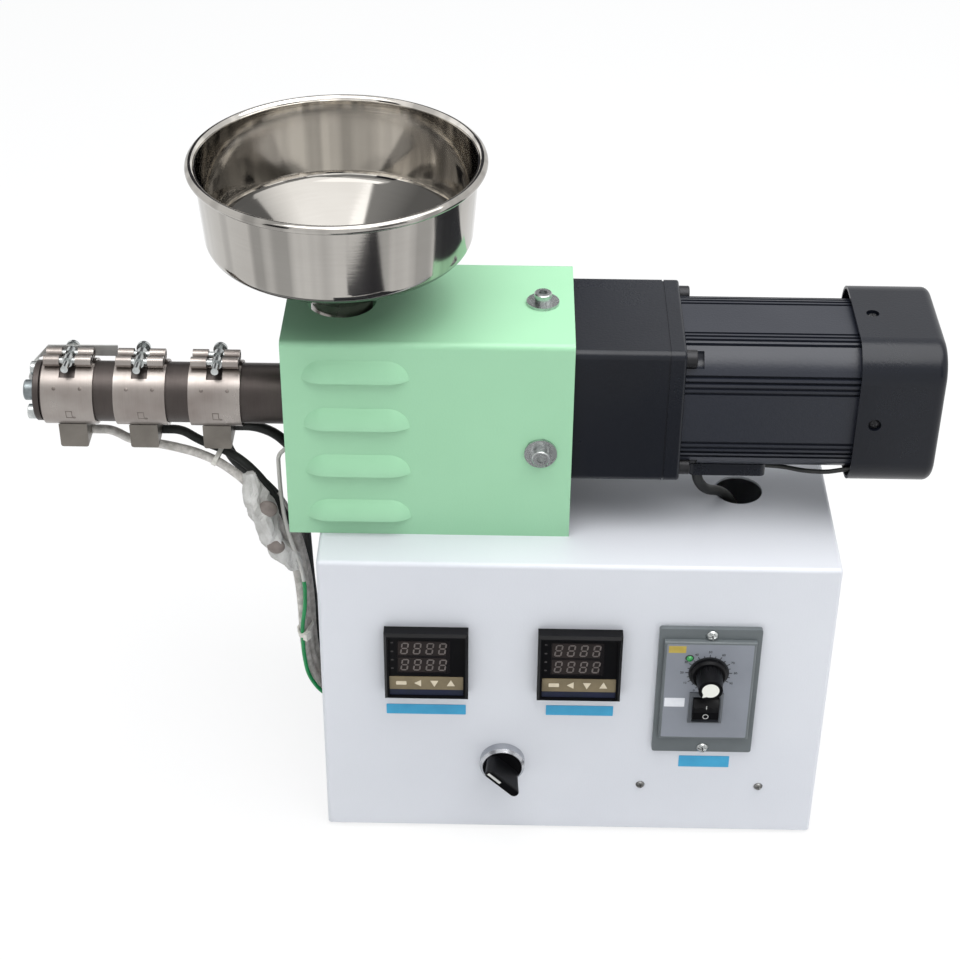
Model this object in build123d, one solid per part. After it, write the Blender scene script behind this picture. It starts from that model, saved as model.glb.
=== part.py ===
from build123d import *
from math import radians, tan
import os

os.makedirs("parts", exist_ok=True)

# Frame, in millimetres: +X runs along the machine axis from the nozzle to the motor,
# +Y away from the control panel, +Z up, the bench plane is z = 0 and the base box is
# centred on x = 0, y = 0.

# Clearances
CURVE_GAP = 0.3
TURN_GAP = 0.4

# Socket cap bolts: chamfer, and the socket's floor height and radius as shares of the head's
HEAD_CHAMFER = 0.5
SOCKET_DEPTH = 0.45
SOCKET_SIZE = 0.52

# Base box, folded from sheet
BASE_LENGTH = 293.0
BASE_DEPTH = 180.0
BASE_HEIGHT = 199.0
BASE_SHEET = 1.5
BASE_BEND = 2.5
FOOT_RADIUS = 6.5
FOOT_HEIGHT = 2.5
FOOT_INSET = 12.0
BASE_TOP = FOOT_HEIGHT + BASE_HEIGHT
PANEL_Y = -BASE_DEPTH / 2
LEFT_WALL = -BASE_LENGTH / 2

# Machine axis, above the base
AXIS_Y = -16.6
BARREL_LIFT = 63.9
BARREL_Z = BASE_TOP + BARREL_LIFT

# Guard over the feed end, from the base's left end
GUARD_OVERHANG = 16.9
GUARD_LENGTH = 158.0
GUARD_START = LEFT_WALL - GUARD_OVERHANG
GUARD_END = GUARD_START + GUARD_LENGTH
GUARD_DEPTH = 90.0
GUARD_FRONT = AXIS_Y - 45.7
GUARD_HEIGHT = 125.2
GUARD_SHEET = 1.2
GUARD_BEND = 2.0
GUARD_TOP = BASE_TOP + GUARD_HEIGHT
GUARD_BACK = GUARD_FRONT + GUARD_DEPTH
LOUVRE_CENTRE_X = GUARD_START + 40.1
LOUVRE_LENGTH = 58.0
LOUVRE_HEIGHT = 12.0
LOUVRE_RISE = 4.5
LOUVRE_LIFT = 11.5
LOUVRE_HEADROOM = 10.8
LOUVRE_COUNT = 4
LOUVRE_PITCH = (GUARD_HEIGHT - LOUVRE_LIFT - LOUVRE_HEADROOM - LOUVRE_HEIGHT) / (LOUVRE_COUNT - 1)
WASHER_RADIUS = 9.0
WASHER_THICKNESS = 1.6
BOLT_RADIUS = 3.0
BOLT_HEAD_RADIUS = 4.9
BOLT_HEAD_HEIGHT = 5.2
BOLT_LENGTH = 14.0
BOLT_RUNOUT = 4.0

# Gear motor, from the guard's right end
MOTOR_LIFT = 13.4
MOTOR_Z = BARREL_Z + MOTOR_LIFT
FRAME_HALF = 41.8
GEARBOX_LAP = 4.6
GEARBOX_LENGTH = 56.1
GEARBOX_START = GUARD_END - GEARBOX_LAP
SEAM_X = GEARBOX_START + GEARBOX_LENGTH
FLANGE_THICKNESS = 8.5
FLANGE_END = SEAM_X + FLANGE_THICKNESS
GEARBOX_CORNER = 4.0
GEARBOX_BOSS = 12.0
SEAM_GROOVE = 0.5
SEAM_WIDTH = 1.0
MOTOR_HALF = 40.0
MOTOR_CORNER = 22.0
MOTOR_LENGTH = 103.4
MOTOR_END = FLANGE_END + MOTOR_LENGTH
GROOVE_DEPTH = 1.3
GROOVE_WIDTH = 1.8
GROOVE_PITCH = 3.24
GROOVE_INSET = 2.0
GROOVE_DEEPER = 0.9
GROOVES_IN_GROUP = 4
FRAME_BOLT_OFFSET = 34.8
FRAME_BOLT_RADIUS = 4.9
FRAME_BOLT_HEIGHT = 6.0
BOLT_POCKET = 10.0
SHIELD_START = MOTOR_END - 5.0
SHIELD_LENGTH = 15.0
SHIELD_END = SHIELD_START + SHIELD_LENGTH
FAN_START = MOTOR_END - 9.5
FAN_LENGTH = 46.5
FAN_END = FAN_START + FAN_LENGTH
FAN_HALF = 44.4
FAN_CORNER = 19.0
FAN_SHEET = 1.6
FAN_EDGE = 5.0
FAN_SLOT_RADIUS = 3.2
FAN_SLOT_RINGS = ((12.0, 6), (22.0, 12), (32.0, 18))
FAN_SCREW_X = FAN_START + 10.0
FAN_SCREW_RADIUS = 3.6
LEAD_COVER_START = FLANGE_END + 6.4
LEAD_COVER_END = LEAD_COVER_START + 43.0
LEAD_COVER_FRONT = AXIS_Y - 30.4
LEAD_COVER_BACK = AXIS_Y + 8.6
LEAD_COVER_BOTTOM = MOTOR_Z - 44.3
LEAD_COVER_ROUND = 3.0

# Supports hidden under the guard
GUARD_BOLT_X = GEARBOX_START - 12.6
GUARD_BOLT_Z = BASE_TOP + 57.0
STAND_START = GEARBOX_START - 28.0
STAND_BORE = 17.5
STAND_WINDOW_HALF = 24.0
STAND_WINDOW_LOW = 10.0
STAND_WINDOW_HIGH = 38.0
STAND_WINDOW_ROUND = 6.0
BLOCK_START = GUARD_START + 5.4
BLOCK_END = BLOCK_START + 58.0
BLOCK_DEPTH = 60.0
BLOCK_TOP = BARREL_Z + 36.6
BLOCK_FOOT = 12.0
BLOCK_ROUND = 4.0
COLUMN_DEPTH = 34.0
COLUMN_INSET = 10.0
SPACER_RADIUS = 25.0
SCREW_BORE = 8.3

# Hopper, spun from sheet
HOPPER_X = GUARD_START + 30.4
HOPPER_SHEET = 0.9
RIM_BEAD = 2.4
RIM_RADIUS = 79.8
BOWL_TOP_RADIUS = 75.4
BOWL_LOW_RADIUS = 71.8
BOWL_CORNER = 9.0
NECK_RADIUS = 17.0
NECK_WALL = 1.5
NECK_TOP_Z = GUARD_TOP + 5.3
CONE_HEIGHT = 34.5
BOWL_HEIGHT = 47.0
BOWL_BOTTOM_Z = NECK_TOP_Z + CONE_HEIGHT
RIM_Z = BOWL_BOTTOM_Z + BOWL_HEIGHT
NECK_STEP = 3.0
NECK_SEAT = 8.0
NECK_HOLE_RADIUS = 19.0

# Barrel, end plate and nozzle
BARREL_RADIUS = 17.2
BARREL_START = GUARD_START - 140.6
BARREL_SEAT = 10.0
END_PLATE_THICKNESS = 3.5
NOZZLE_RADIUS = 5.9
NOZZLE_LENGTH = 7.6
NOZZLE_HOLE = 1.5
END_BOLT_CIRCLE = 12.4
END_BOLT_RADIUS = 4.25
END_BOLT_HEIGHT = 4.6
END_BOLT_COUNT = 2

# Heater bands
BAND_STARTS = (BARREL_START + 1.7, BARREL_START + 42.2, BARREL_START + 84.2)
BAND_WIDTH = 29.0
BAND_SHEET = 1.3
BAND_SLIT = 5.0
BAND_TURN = 4.0
LUG_RADIUS = 3.3
LUG_SPREAD = 4.7
LUG_RISE = 21.4
LUG_INSET = 1.2
LUG_BORE = 2.2
PIN_RADIUS = LUG_BORE - CURVE_GAP
PIN_LENGTH = 22.0
WINDOW_WIDTH = 9.0
WINDOW_DEPTH = 9.0
WINDOW_HEIGHT = 6.0
WINDOW_ANGLE = 26.0
CLAMP_SHIFTS = (2.0, 1.6, 3.2)
CLAMP_RADIUS = 2.1
CLAMP_HEAD_RADIUS = 4.0
CLAMP_HEAD_HEIGHT = 3.4
CLAMP_FRONT = -15.5
CLAMP_BACK = 11.0
CLAMP_HEAD_ROUND = 1.5
CLAMP_NUT_RADIUS = 3.0
CLAMP_NUT_HALF = 2.4
TERMINAL_WIDTH = 16.0
TERMINAL_DEPTH = 22.0
TERMINAL_DROP = 31.0
TERMINAL_SHEET = 1.0
TERMINAL_STARTS = (BARREL_START + 8.3, BARREL_START + 48.4, BARREL_START + 90.1)
TERMINAL_ROUND = 1.5

# Control panel
CONTROLLER_SIZE = 48.0
CONTROLLER_RISE = 8.0
CONTROLLER_BODY = 44.6
CONTROLLER_LENGTH = 70.0
CONTROLLER_CENTRES = ((-85.3, 132.7), (2.3, 132.8))
CONTROLLER_RECESS = 1.6
CONTROLLER_BORDER = 2.6
DRIVE_CENTRE = (76.1, 114.3)
DRIVE_PLATE = (58.2, 92.5)
DRIVE_PLATE_RISE = 3.0
DRIVE_FACE = (52.4, 72.6)
DRIVE_FACE_RISE = 3.0
DRIVE_FACE_Z = DRIVE_CENTRE[1] + 2.7
DRIVE_BODY = (46.0, 70.0, 60.0)
DIAL_CENTRE = (DRIVE_CENTRE[0], DRIVE_CENTRE[1] + 16.9)
KNOB_SKIRT_RADIUS = 10.4
KNOB_SKIRT_HEIGHT = 3.2
KNOB_RADIUS = 8.0
KNOB_HEIGHT = 15.5
KNOB_FLUTES = 18
KNOB_FLUTE_RADIUS = 0.6
KNOB_TAPER = 4.0
SHAFT_RADIUS = 2.9
SHAFT_LENGTH = 9.0
ROCKER_CENTRE = (DRIVE_CENTRE[0] - 0.1, DRIVE_CENTRE[1] - 9.1)
ROCKER_FRAME = (19.6, 22.6)
ROCKER_FRAME_RISE = 2.2
ROCKER_OPENING = (15.6, 18.8)
ROCKER_WIDTH = 14.8
ROCKER_RADIUS = 8.6
ROCKER_TILT = 8.0
SELECTOR_CENTRE = (-40.9, 55.9)
SELECTOR_RING_RADIUS = 13.3
SELECTOR_STEM = 32.0
SELECTOR_RING_RISE = 6.5
SELECTOR_BODY_RADIUS = 11.0
SELECTOR_CUP_RADIUS = 11.4
HANDLE_LENGTH = 27.0
HANDLE_WIDTH = 8.0
HANDLE_RISE = 18.0
HANDLE_TURN = 45.0
HANDLE_BASE_RADIUS = 11.0
HANDLE_BASE_RISE = 3.0

# Leads and their ways through the sheet
CABLE_HOLE_X = LEAD_COVER_START + 33.3
CABLE_HOLE_Y = AXIS_Y + 2.6
CABLE_HOLE_RADIUS = 14.0
LEAD_SLOT = (AXIS_Y - 43.4, AXIS_Y + 8.6, BASE_TOP - 155.5, BASE_TOP - 117.5)
SLEEVE_RADIUS = 2.6
BLACK_SLEEVE_RADIUS = 3.3
EARTH_RADIUS = 1.2
SHEATH_RADIUS = 3.0
CABLE_RADIUS = 2.95
FAN_LEAD_RADIUS = 1.3
GLAND_Y = 40.0
GLAND_Z = 40.0
GLAND_RADIUS = 9.0
GLAND_LENGTH = 14.0


def save(name, shape):
    """Write one piece as its own STEP file."""
    export_step(shape, f"parts/{name}.step")


def block(x0, x1, y0, y1, z0, z1):
    """Box between two corners."""
    return Pos((x0 + x1) / 2, (y0 + y1) / 2, (z0 + z1) / 2) * Box(x1 - x0, y1 - y0, z1 - z0)


def rod_x(x0, x1, radius, y=AXIS_Y, z=BARREL_Z):
    """Round bar along X."""
    return extrude(Plane.YZ.offset(x0) * Pos(y, z) * Circle(radius), x1 - x0)


def rod_y(y0, y1, radius, x, z):
    """Round bar along Y."""
    return extrude(Plane.ZX.offset(y0) * Pos(z, x) * Circle(radius), y1 - y0)


def rod_z(z0, z1, radius, x, y):
    """Round bar along Z."""
    return extrude(Plane.XY.offset(z0) * Pos(x, y) * Circle(radius), z1 - z0)


def rounded_bar_x(x0, x1, half, corner, z=MOTOR_Z):
    """Square bar along X with rounded long edges, on the motor's axis."""
    section = RectangleRounded(2 * half, 2 * half, corner)
    return extrude(Plane.YZ.offset(x0) * Pos(AXIS_Y, z) * section, x1 - x0)


def cap_head(radius, height):
    """Head of a socket cap bolt, standing on z = 0."""
    head = Pos(0, 0, height / 2) * Cylinder(radius, height)
    head = chamfer(head.edges().group_by(Axis.Z)[-1], HEAD_CHAMFER)
    socket = extrude(Plane.XY.offset(height * SOCKET_DEPTH) * RegularPolygon(radius * SOCKET_SIZE, 6), height)
    return head - socket


def tube_along(name, points, radius):
    """Round lead: straight runs joined by tangent arcs sized from the shorter run and the turn."""
    knots = [Vector(*p) for p in points]
    radii = []
    for before, here, after in zip(knots, knots[1:], knots[2:]):
        run_in = here - before
        run_out = after - here
        turn = radians(run_in.get_angle(run_out))
        radii.append(0.45 * min(run_in.length, run_out.length) / tan(turn / 2))
    path = FilletPolyline(*knots, radius=radii)
    lead = sweep(Plane(origin=knots[0], z_dir=knots[1] - knots[0]) * Circle(radius), path=path)
    print(name, "bend radii", [round(r, 1) for r in radii], "volume / (section x length)",
          round(lead.volume / (3.14159265 * radius**2 * path.length), 4))
    return lead


def base_shell():
    """White folded box, open below, with its panel, cable and lead cut-outs."""
    outer = block(-BASE_LENGTH / 2, BASE_LENGTH / 2, PANEL_Y, -PANEL_Y, FOOT_HEIGHT, BASE_TOP)
    bends = outer.edges().filter_by(Axis.Z) + outer.edges().group_by(Axis.Z)[-1]
    outer = fillet(bends, BASE_BEND)
    shell = offset(outer, amount=-BASE_SHEET, openings=outer.faces().sort_by(Axis.Z)[0])
    for x, z in CONTROLLER_CENTRES:
        half = CONTROLLER_BODY / 2 + CURVE_GAP
        shell -= block(x - half, x + half, PANEL_Y - 1, PANEL_Y + 5, z - half, z + half)
    drive_x, drive_z = DRIVE_CENTRE
    shell -= block(drive_x - DRIVE_BODY[0] / 2 - CURVE_GAP, drive_x + DRIVE_BODY[0] / 2 + CURVE_GAP,
                   PANEL_Y - 1, PANEL_Y + 5,
                   drive_z - DRIVE_BODY[1] / 2 - CURVE_GAP, drive_z + DRIVE_BODY[1] / 2 + CURVE_GAP)
    shell -= rod_y(PANEL_Y - 1, PANEL_Y + 5, SELECTOR_BODY_RADIUS + CURVE_GAP, *SELECTOR_CENTRE)
    shell -= rod_z(BASE_TOP - 5, BASE_TOP + 1, CABLE_HOLE_RADIUS, CABLE_HOLE_X, CABLE_HOLE_Y)
    y0, y1, z0, z1 = LEAD_SLOT
    shell -= block(-BASE_LENGTH / 2 - 1, -BASE_LENGTH / 2 + 5, y0, y1, z0, z1)
    shell -= rod_x(BASE_LENGTH / 2 - 5, BASE_LENGTH / 2 + 1, GLAND_RADIUS * 0.7 + CURVE_GAP, GLAND_Y, GLAND_Z)
    return shell


def base_floor():
    """Bottom plate inside the folds of the box."""
    inset = BASE_SHEET
    plate = block(-BASE_LENGTH / 2 + inset, BASE_LENGTH / 2 - inset, PANEL_Y + inset, -PANEL_Y - inset,
                  FOOT_HEIGHT, FOOT_HEIGHT + BASE_SHEET)
    return fillet(plate.edges().filter_by(Axis.Z), BASE_BEND - BASE_SHEET + CURVE_GAP)


def feet():
    """Four round rubber feet under the corners."""
    x = BASE_LENGTH / 2 - FOOT_INSET - FOOT_RADIUS
    y = -PANEL_Y - FOOT_INSET
    for name, sx, sy in (("foot_fl", -1, -1), ("foot_fr", 1, -1), ("foot_bl", -1, 1), ("foot_br", 1, 1)):
        foot = Pos(sx * x, sy * y, FOOT_HEIGHT / 2) * Cylinder(FOOT_RADIUS, FOOT_HEIGHT)
        save(name, chamfer(foot.edges().group_by(Axis.Z)[0], 0.8))


def louvre_body(shrink):
    """Pressed hood: a long round-ended roll that breaks through the guard's front, above its lip."""
    rise = LOUVRE_RISE
    radius = (LOUVRE_HEIGHT**2 + rise**2) / (2 * rise) - shrink
    depth = (LOUVRE_HEIGHT**2 + rise**2) / (2 * rise) - rise
    straight = LOUVRE_LENGTH - 2 * LOUVRE_HEIGHT
    roll = extrude(Plane.YZ.offset(-straight / 2) * Circle(radius), straight)
    roll += Pos(-straight / 2, 0, 0) * Sphere(radius)
    roll += Pos(straight / 2, 0, 0) * Sphere(radius)
    roll = Pos(0, depth, 0) * roll
    size = 2 * LOUVRE_LENGTH
    back = GUARD_SHEET if shrink else GUARD_SHEET / 2
    return roll & Pos(0, back - size / 2, size / 2) * Box(size, size, size)


def guard_cover():
    """Green folded guard: front, top and back in one sheet, open at both ends, with louvres."""
    outer = RectangleRounded(GUARD_DEPTH, 2 * GUARD_HEIGHT, GUARD_BEND + GUARD_SHEET)
    inner = RectangleRounded(GUARD_DEPTH - 2 * GUARD_SHEET, 2 * (GUARD_HEIGHT - GUARD_SHEET), GUARD_BEND)
    upper = Pos(0, GUARD_HEIGHT) * Rectangle(2 * GUARD_DEPTH, 2 * GUARD_HEIGHT)
    section = (outer - inner) & upper
    middle = GUARD_FRONT + GUARD_DEPTH / 2
    cover = extrude(Plane.YZ.offset(GUARD_START) * Pos(middle, BASE_TOP) * section, GUARD_END - GUARD_START)
    for i in range(LOUVRE_COUNT):
        place = Pos(LOUVRE_CENTRE_X, GUARD_FRONT, BASE_TOP + LOUVRE_LIFT + i * LOUVRE_PITCH)
        cover = cover + place * louvre_body(0) - place * louvre_body(GUARD_SHEET)
    cover -= rod_z(GUARD_TOP - 5, GUARD_TOP + 1, NECK_HOLE_RADIUS, HOPPER_X, AXIS_Y)
    hole = BOLT_RADIUS + CURVE_GAP
    cover -= rod_z(GUARD_TOP - 5, GUARD_TOP + 1, hole, GUARD_BOLT_X, AXIS_Y)
    cover -= rod_y(GUARD_FRONT - 1, GUARD_BACK + 1, hole, GUARD_BOLT_X, GUARD_BOLT_Z)
    return cover


def guard_bolts():
    """Cap bolts with captive wide washers that hold the guard on the stand: top, front and back."""
    bolt = Pos(0, 0, WASHER_THICKNESS) * cap_head(BOLT_HEAD_RADIUS, BOLT_HEAD_HEIGHT)
    bolt += Pos(0, 0, WASHER_THICKNESS / 2) * Cylinder(WASHER_RADIUS, WASHER_THICKNESS)
    bolt += Pos(0, 0, -BOLT_LENGTH / 2) * Cylinder(BOLT_RADIUS, BOLT_LENGTH)
    places = {
        "top": Plane(origin=(GUARD_BOLT_X, AXIS_Y, GUARD_TOP), z_dir=(0, 0, 1)),
        "front": Plane(origin=(GUARD_BOLT_X, GUARD_FRONT, GUARD_BOLT_Z), z_dir=(0, -1, 0)),
        "back": Plane(origin=(GUARD_BOLT_X, GUARD_BACK, GUARD_BOLT_Z), z_dir=(0, 1, 0)),
    }
    for side, plane in places.items():
        save(f"guard_bolt_{side}", plane.location * bolt)


def motor_stand():
    """Upright block that carries the gearbox face and the bearing, and takes the guard's bolts."""
    stand = block(STAND_START, GEARBOX_START, GUARD_FRONT + GUARD_SHEET, GUARD_BACK - GUARD_SHEET,
                  BASE_TOP, GUARD_TOP - GUARD_SHEET)
    stand = fillet(stand.edges().filter_by(Axis.X).group_by(Axis.Z)[-1], GUARD_BEND + 1)
    stand -= rod_x(STAND_START - 1, GEARBOX_START + 1, STAND_BORE)
    hole = BOLT_RADIUS + CURVE_GAP
    stand -= rod_z(GUARD_TOP - BOLT_LENGTH - BOLT_RUNOUT, GUARD_TOP, hole, GUARD_BOLT_X, AXIS_Y)
    for y0, y1 in ((GUARD_FRONT, GUARD_FRONT + BOLT_LENGTH + BOLT_RUNOUT),
                   (GUARD_BACK - BOLT_LENGTH - BOLT_RUNOUT, GUARD_BACK)):
        stand -= rod_y(y0, y1, hole, GUARD_BOLT_X, GUARD_BOLT_Z)
    window = block(STAND_START - 1, GEARBOX_START + 1, AXIS_Y - STAND_WINDOW_HALF, AXIS_Y + STAND_WINDOW_HALF,
                   BASE_TOP + STAND_WINDOW_LOW, BASE_TOP + STAND_WINDOW_HIGH)
    return stand - fillet(window.edges().filter_by(Axis.X), STAND_WINDOW_ROUND)


def feed_block():
    """Steel block on a column: seats the barrel at one end and the hopper's neck on top."""
    half = BLOCK_DEPTH / 2
    column = COLUMN_DEPTH / 2
    body = block(BLOCK_START, BLOCK_END, AXIS_Y - half, AXIS_Y + half, BARREL_Z - half, BLOCK_TOP)
    body = fillet(body.edges().filter_by(Axis.X), BLOCK_ROUND)
    body += block(BLOCK_START + COLUMN_INSET, BLOCK_END - COLUMN_INSET, AXIS_Y - column, AXIS_Y + column,
                  BASE_TOP, BARREL_Z)
    body += block(BLOCK_START, BLOCK_END, AXIS_Y - half, AXIS_Y + half, BASE_TOP, BASE_TOP + BLOCK_FOOT)
    body -= rod_x(BLOCK_START - 1, BLOCK_END + 1, SCREW_BORE)
    body -= rod_x(BLOCK_START - 1, BLOCK_START + BARREL_SEAT, BARREL_RADIUS + CURVE_GAP)
    body -= rod_z(BARREL_Z, BLOCK_TOP + 1, NECK_RADIUS - NECK_WALL - NECK_STEP, HOPPER_X, AXIS_Y)
    body -= rod_z(BLOCK_TOP - NECK_SEAT, BLOCK_TOP + 1, NECK_RADIUS + CURVE_GAP, HOPPER_X, AXIS_Y)
    return body


def shaft_housing():
    """Tube between the feed block and the stand, round the screw's drive shaft."""
    return rod_x(BLOCK_END, STAND_START, SPACER_RADIUS) - rod_x(BLOCK_END, STAND_START, STAND_BORE)


def hopper():
    """Spun bowl with a rolled rim, a rounded shoulder and a cone, revolved in one profile."""
    t = HOPPER_SHEET
    top = RIM_Z - RIM_BEAD
    outer = FilletPolyline((BOWL_TOP_RADIUS, top), (BOWL_LOW_RADIUS, BOWL_BOTTOM_Z), (NECK_RADIUS, NECK_TOP_Z),
                           radius=BOWL_CORNER)
    inner = FilletPolyline((BOWL_TOP_RADIUS - t, top), (BOWL_LOW_RADIUS - t, BOWL_BOTTOM_Z + t / 2),
                           (NECK_RADIUS - t / 2, NECK_TOP_Z + t), radius=BOWL_CORNER - t)
    section = make_face(outer.edges() + inner.edges() + [Line(outer @ 0, inner @ 0), Line(outer @ 1, inner @ 1)])
    reach = RIM_RADIUS - RIM_BEAD
    section += Pos((reach + BOWL_TOP_RADIUS - t) / 2, top) * Rectangle(reach - BOWL_TOP_RADIUS + t, t)
    section += Pos(reach, top) * Circle(RIM_BEAD)
    return Pos(HOPPER_X, AXIS_Y, 0) * revolve(Plane.XZ * section, Axis.Z)


def hopper_neck():
    """Short tube welded under the cone and set into the feed block."""
    outer = rod_z(BLOCK_TOP - NECK_SEAT, NECK_TOP_Z, NECK_RADIUS, HOPPER_X, AXIS_Y)
    return outer - rod_z(BLOCK_TOP - NECK_SEAT - 1, NECK_TOP_Z + 1, NECK_RADIUS - NECK_WALL, HOPPER_X, AXIS_Y)


def barrel():
    """Turned steel barrel with its screw bore."""
    tube = rod_x(BARREL_START, BLOCK_START + BARREL_SEAT, BARREL_RADIUS)
    tube = chamfer(tube.edges().group_by(Axis.X)[0], 0.8)
    return tube - rod_x(BARREL_START - 1, BLOCK_START + BARREL_SEAT + 1, SCREW_BORE)


def end_plate():
    """Round plate that closes the barrel's end, drilled for the outlet."""
    x1 = BARREL_START
    plate = rod_x(x1 - END_PLATE_THICKNESS, x1, BARREL_RADIUS)
    plate = chamfer(plate.edges().group_by(Axis.X)[0], 0.6)
    return plate - rod_x(x1 - END_PLATE_THICKNESS - 1, x1 + 1, NOZZLE_HOLE)


def nozzle():
    """Short round boss with the outlet hole."""
    x1 = BARREL_START - END_PLATE_THICKNESS
    boss = rod_x(x1 - NOZZLE_LENGTH, x1, NOZZLE_RADIUS)
    boss = fillet(boss.edges().group_by(Axis.X)[0], 1.2)
    return boss - rod_x(x1 - NOZZLE_LENGTH - 1, x1 + 1, NOZZLE_HOLE)


def end_bolts():
    """Cap bolt heads above and below the nozzle, on a slanted line."""
    x = BARREL_START - END_PLATE_THICKNESS
    head = cap_head(END_BOLT_RADIUS, END_BOLT_HEIGHT)
    for i in range(END_BOLT_COUNT):
        spin = Rot(-45 + i * 360 / END_BOLT_COUNT, 0, 0) * Pos(0, 0, END_BOLT_CIRCLE)
        place = Pos(x, AXIS_Y, BARREL_Z) * spin * Rot(0, -90, 0)
        save(f"end_bolt_{i + 1}", place * head)


def heater_band(start):
    """Split sheet strap with a rolled lug at each end and a window for the clamp screw."""
    inner = BARREL_RADIUS + CURVE_GAP
    outer = inner + BAND_SHEET
    ring = Circle(outer) - Circle(inner) - Pos(0, outer) * Rectangle(BAND_SLIT, 2 * BAND_SHEET + 6)
    strap = extrude(Plane.YZ * ring, BAND_WIDTH)
    for side in (-1, 1):
        lug = Plane.YZ.offset(LUG_INSET) * Pos(side * LUG_SPREAD, LUG_RISE) * Circle(LUG_RADIUS)
        strap += extrude(lug, BAND_WIDTH - 2 * LUG_INSET)
    middle = BAND_WIDTH / 2
    window = Pos(middle, 0, LUG_RISE + 1) * Box(WINDOW_WIDTH, 2 * (LUG_SPREAD + LUG_RADIUS) + 2, 2 * LUG_RADIUS + 3)
    slot = Rot(WINDOW_ANGLE, 0, 0) * Pos(middle, 0, outer) * Box(WINDOW_WIDTH, WINDOW_DEPTH, WINDOW_HEIGHT)
    strap = strap - window - slot
    for side in (-1, 1):
        strap -= rod_x(-1, BAND_WIDTH + 1, LUG_BORE, side * LUG_SPREAD, LUG_RISE)
    return Pos(start, AXIS_Y, BARREL_Z) * Rot(-BAND_TURN, 0, 0) * strap


def clamp_screw(start, shift):
    """Clamp screw with a round head behind, and the two cross pins that it pulls inside the lugs."""
    x = BAND_WIDTH / 2 + shift - CLAMP_SHIFTS[0]
    screw = rod_y(CLAMP_FRONT, CLAMP_BACK, CLAMP_RADIUS, x, LUG_RISE)
    head = rod_y(CLAMP_BACK, CLAMP_BACK + CLAMP_HEAD_HEIGHT, CLAMP_HEAD_RADIUS, x, LUG_RISE)
    screw += fillet(head.edges().group_by(Axis.Y)[-1], CLAMP_HEAD_ROUND)
    for side in (-1, 1):
        y = side * LUG_SPREAD
        screw += rod_y(y - CLAMP_NUT_HALF, y + CLAMP_NUT_HALF, CLAMP_NUT_RADIUS, x, LUG_RISE)
        middle = BAND_WIDTH / 2
        screw += rod_x(middle - PIN_LENGTH / 2, middle + PIN_LENGTH / 2, PIN_RADIUS, y, LUG_RISE)
    return Pos(start, AXIS_Y, BARREL_Z) * Rot(-BAND_TURN, 0, 0) * screw


def terminal_box(start):
    """Small folded cover over the heater's terminals, saddled against the band."""
    z0 = BARREL_Z - TERMINAL_DROP
    half = TERMINAL_DEPTH / 2
    t = TERMINAL_SHEET
    box = block(start, start + TERMINAL_WIDTH, AXIS_Y - half, AXIS_Y + half, z0, BARREL_Z)
    box = fillet(box.edges().filter_by(Axis.Y).group_by(Axis.Z)[0], TERMINAL_ROUND)
    cavity = block(start + t, start + TERMINAL_WIDTH - t, AXIS_Y - half + t, AXIS_Y + half - t, z0 + t, BARREL_Z)
    saddle = BARREL_RADIUS + 2 * CURVE_GAP + BAND_SHEET
    return box - cavity - rod_x(start - 1, start + TERMINAL_WIDTH + 1, saddle)


def gearbox():
    """Square cast housing with a fine seam groove and an output boss."""
    body = rounded_bar_x(GEARBOX_START, SEAM_X, FRAME_HALF, GEARBOX_CORNER)
    groove = (rounded_bar_x(SEAM_X - SEAM_WIDTH, SEAM_X, FRAME_HALF + 1, GEARBOX_CORNER)
              - rounded_bar_x(SEAM_X - SEAM_WIDTH, SEAM_X, FRAME_HALF - SEAM_GROOVE, GEARBOX_CORNER))
    boss = rod_x(GEARBOX_START - GEARBOX_BOSS, GEARBOX_START, STAND_BORE - CURVE_GAP)
    return body - groove + boss


def gearbox_flange():
    """Motor-side end plate of the gearbox."""
    plate = rounded_bar_x(SEAM_X, FLANGE_END, FRAME_HALF, GEARBOX_CORNER)
    return fillet(plate.edges().group_by(Axis.X)[-1], 1.5)


def frame_bolts():
    """Four cap bolt heads in the corners of the flange, beside the motor."""
    bolt = cap_head(FRAME_BOLT_RADIUS, FRAME_BOLT_HEIGHT)
    corners = (("back_top", 1, 1), ("front_top", -1, 1), ("front_bottom", -1, -1), ("back_bottom", 1, -1))
    for name, sy, sz in corners:
        place = Pos(FLANGE_END, AXIS_Y + sy * FRAME_BOLT_OFFSET, MOTOR_Z + sz * FRAME_BOLT_OFFSET)
        save(f"frame_bolt_{name}", place * Rot(0, 90, 0) * bolt)


def motor_body():
    """Extruded stator housing: rounded square with grooves beside each corner and bolt pockets."""
    section = RectangleRounded(2 * MOTOR_HALF, 2 * MOTOR_HALF, MOTOR_CORNER)
    for quarter in range(4):
        for side in (-1, 1):
            for i in range(GROOVES_IN_GROUP):
                along = side * (MOTOR_HALF - MOTOR_CORNER - GROOVE_INSET + i * GROOVE_PITCH)
                depth = GROOVE_DEPTH + max(0, i - 1) * GROOVE_DEEPER
                groove = Pos(MOTOR_HALF, along) * Rectangle(2 * depth, GROOVE_WIDTH)
                section -= Rot(0, 0, 90 * quarter) * groove
    body = extrude(Plane.YZ.offset(FLANGE_END) * Pos(AXIS_Y, MOTOR_Z) * section, MOTOR_END - FLANGE_END)
    for sy in (-1, 1):
        for sz in (-1, 1):
            body -= rod_x(FLANGE_END - 1, FLANGE_END + BOLT_POCKET, FRAME_BOLT_RADIUS + 2 * CURVE_GAP,
                          AXIS_Y + sy * FRAME_BOLT_OFFSET, MOTOR_Z + sz * FRAME_BOLT_OFFSET)
    return body


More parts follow.
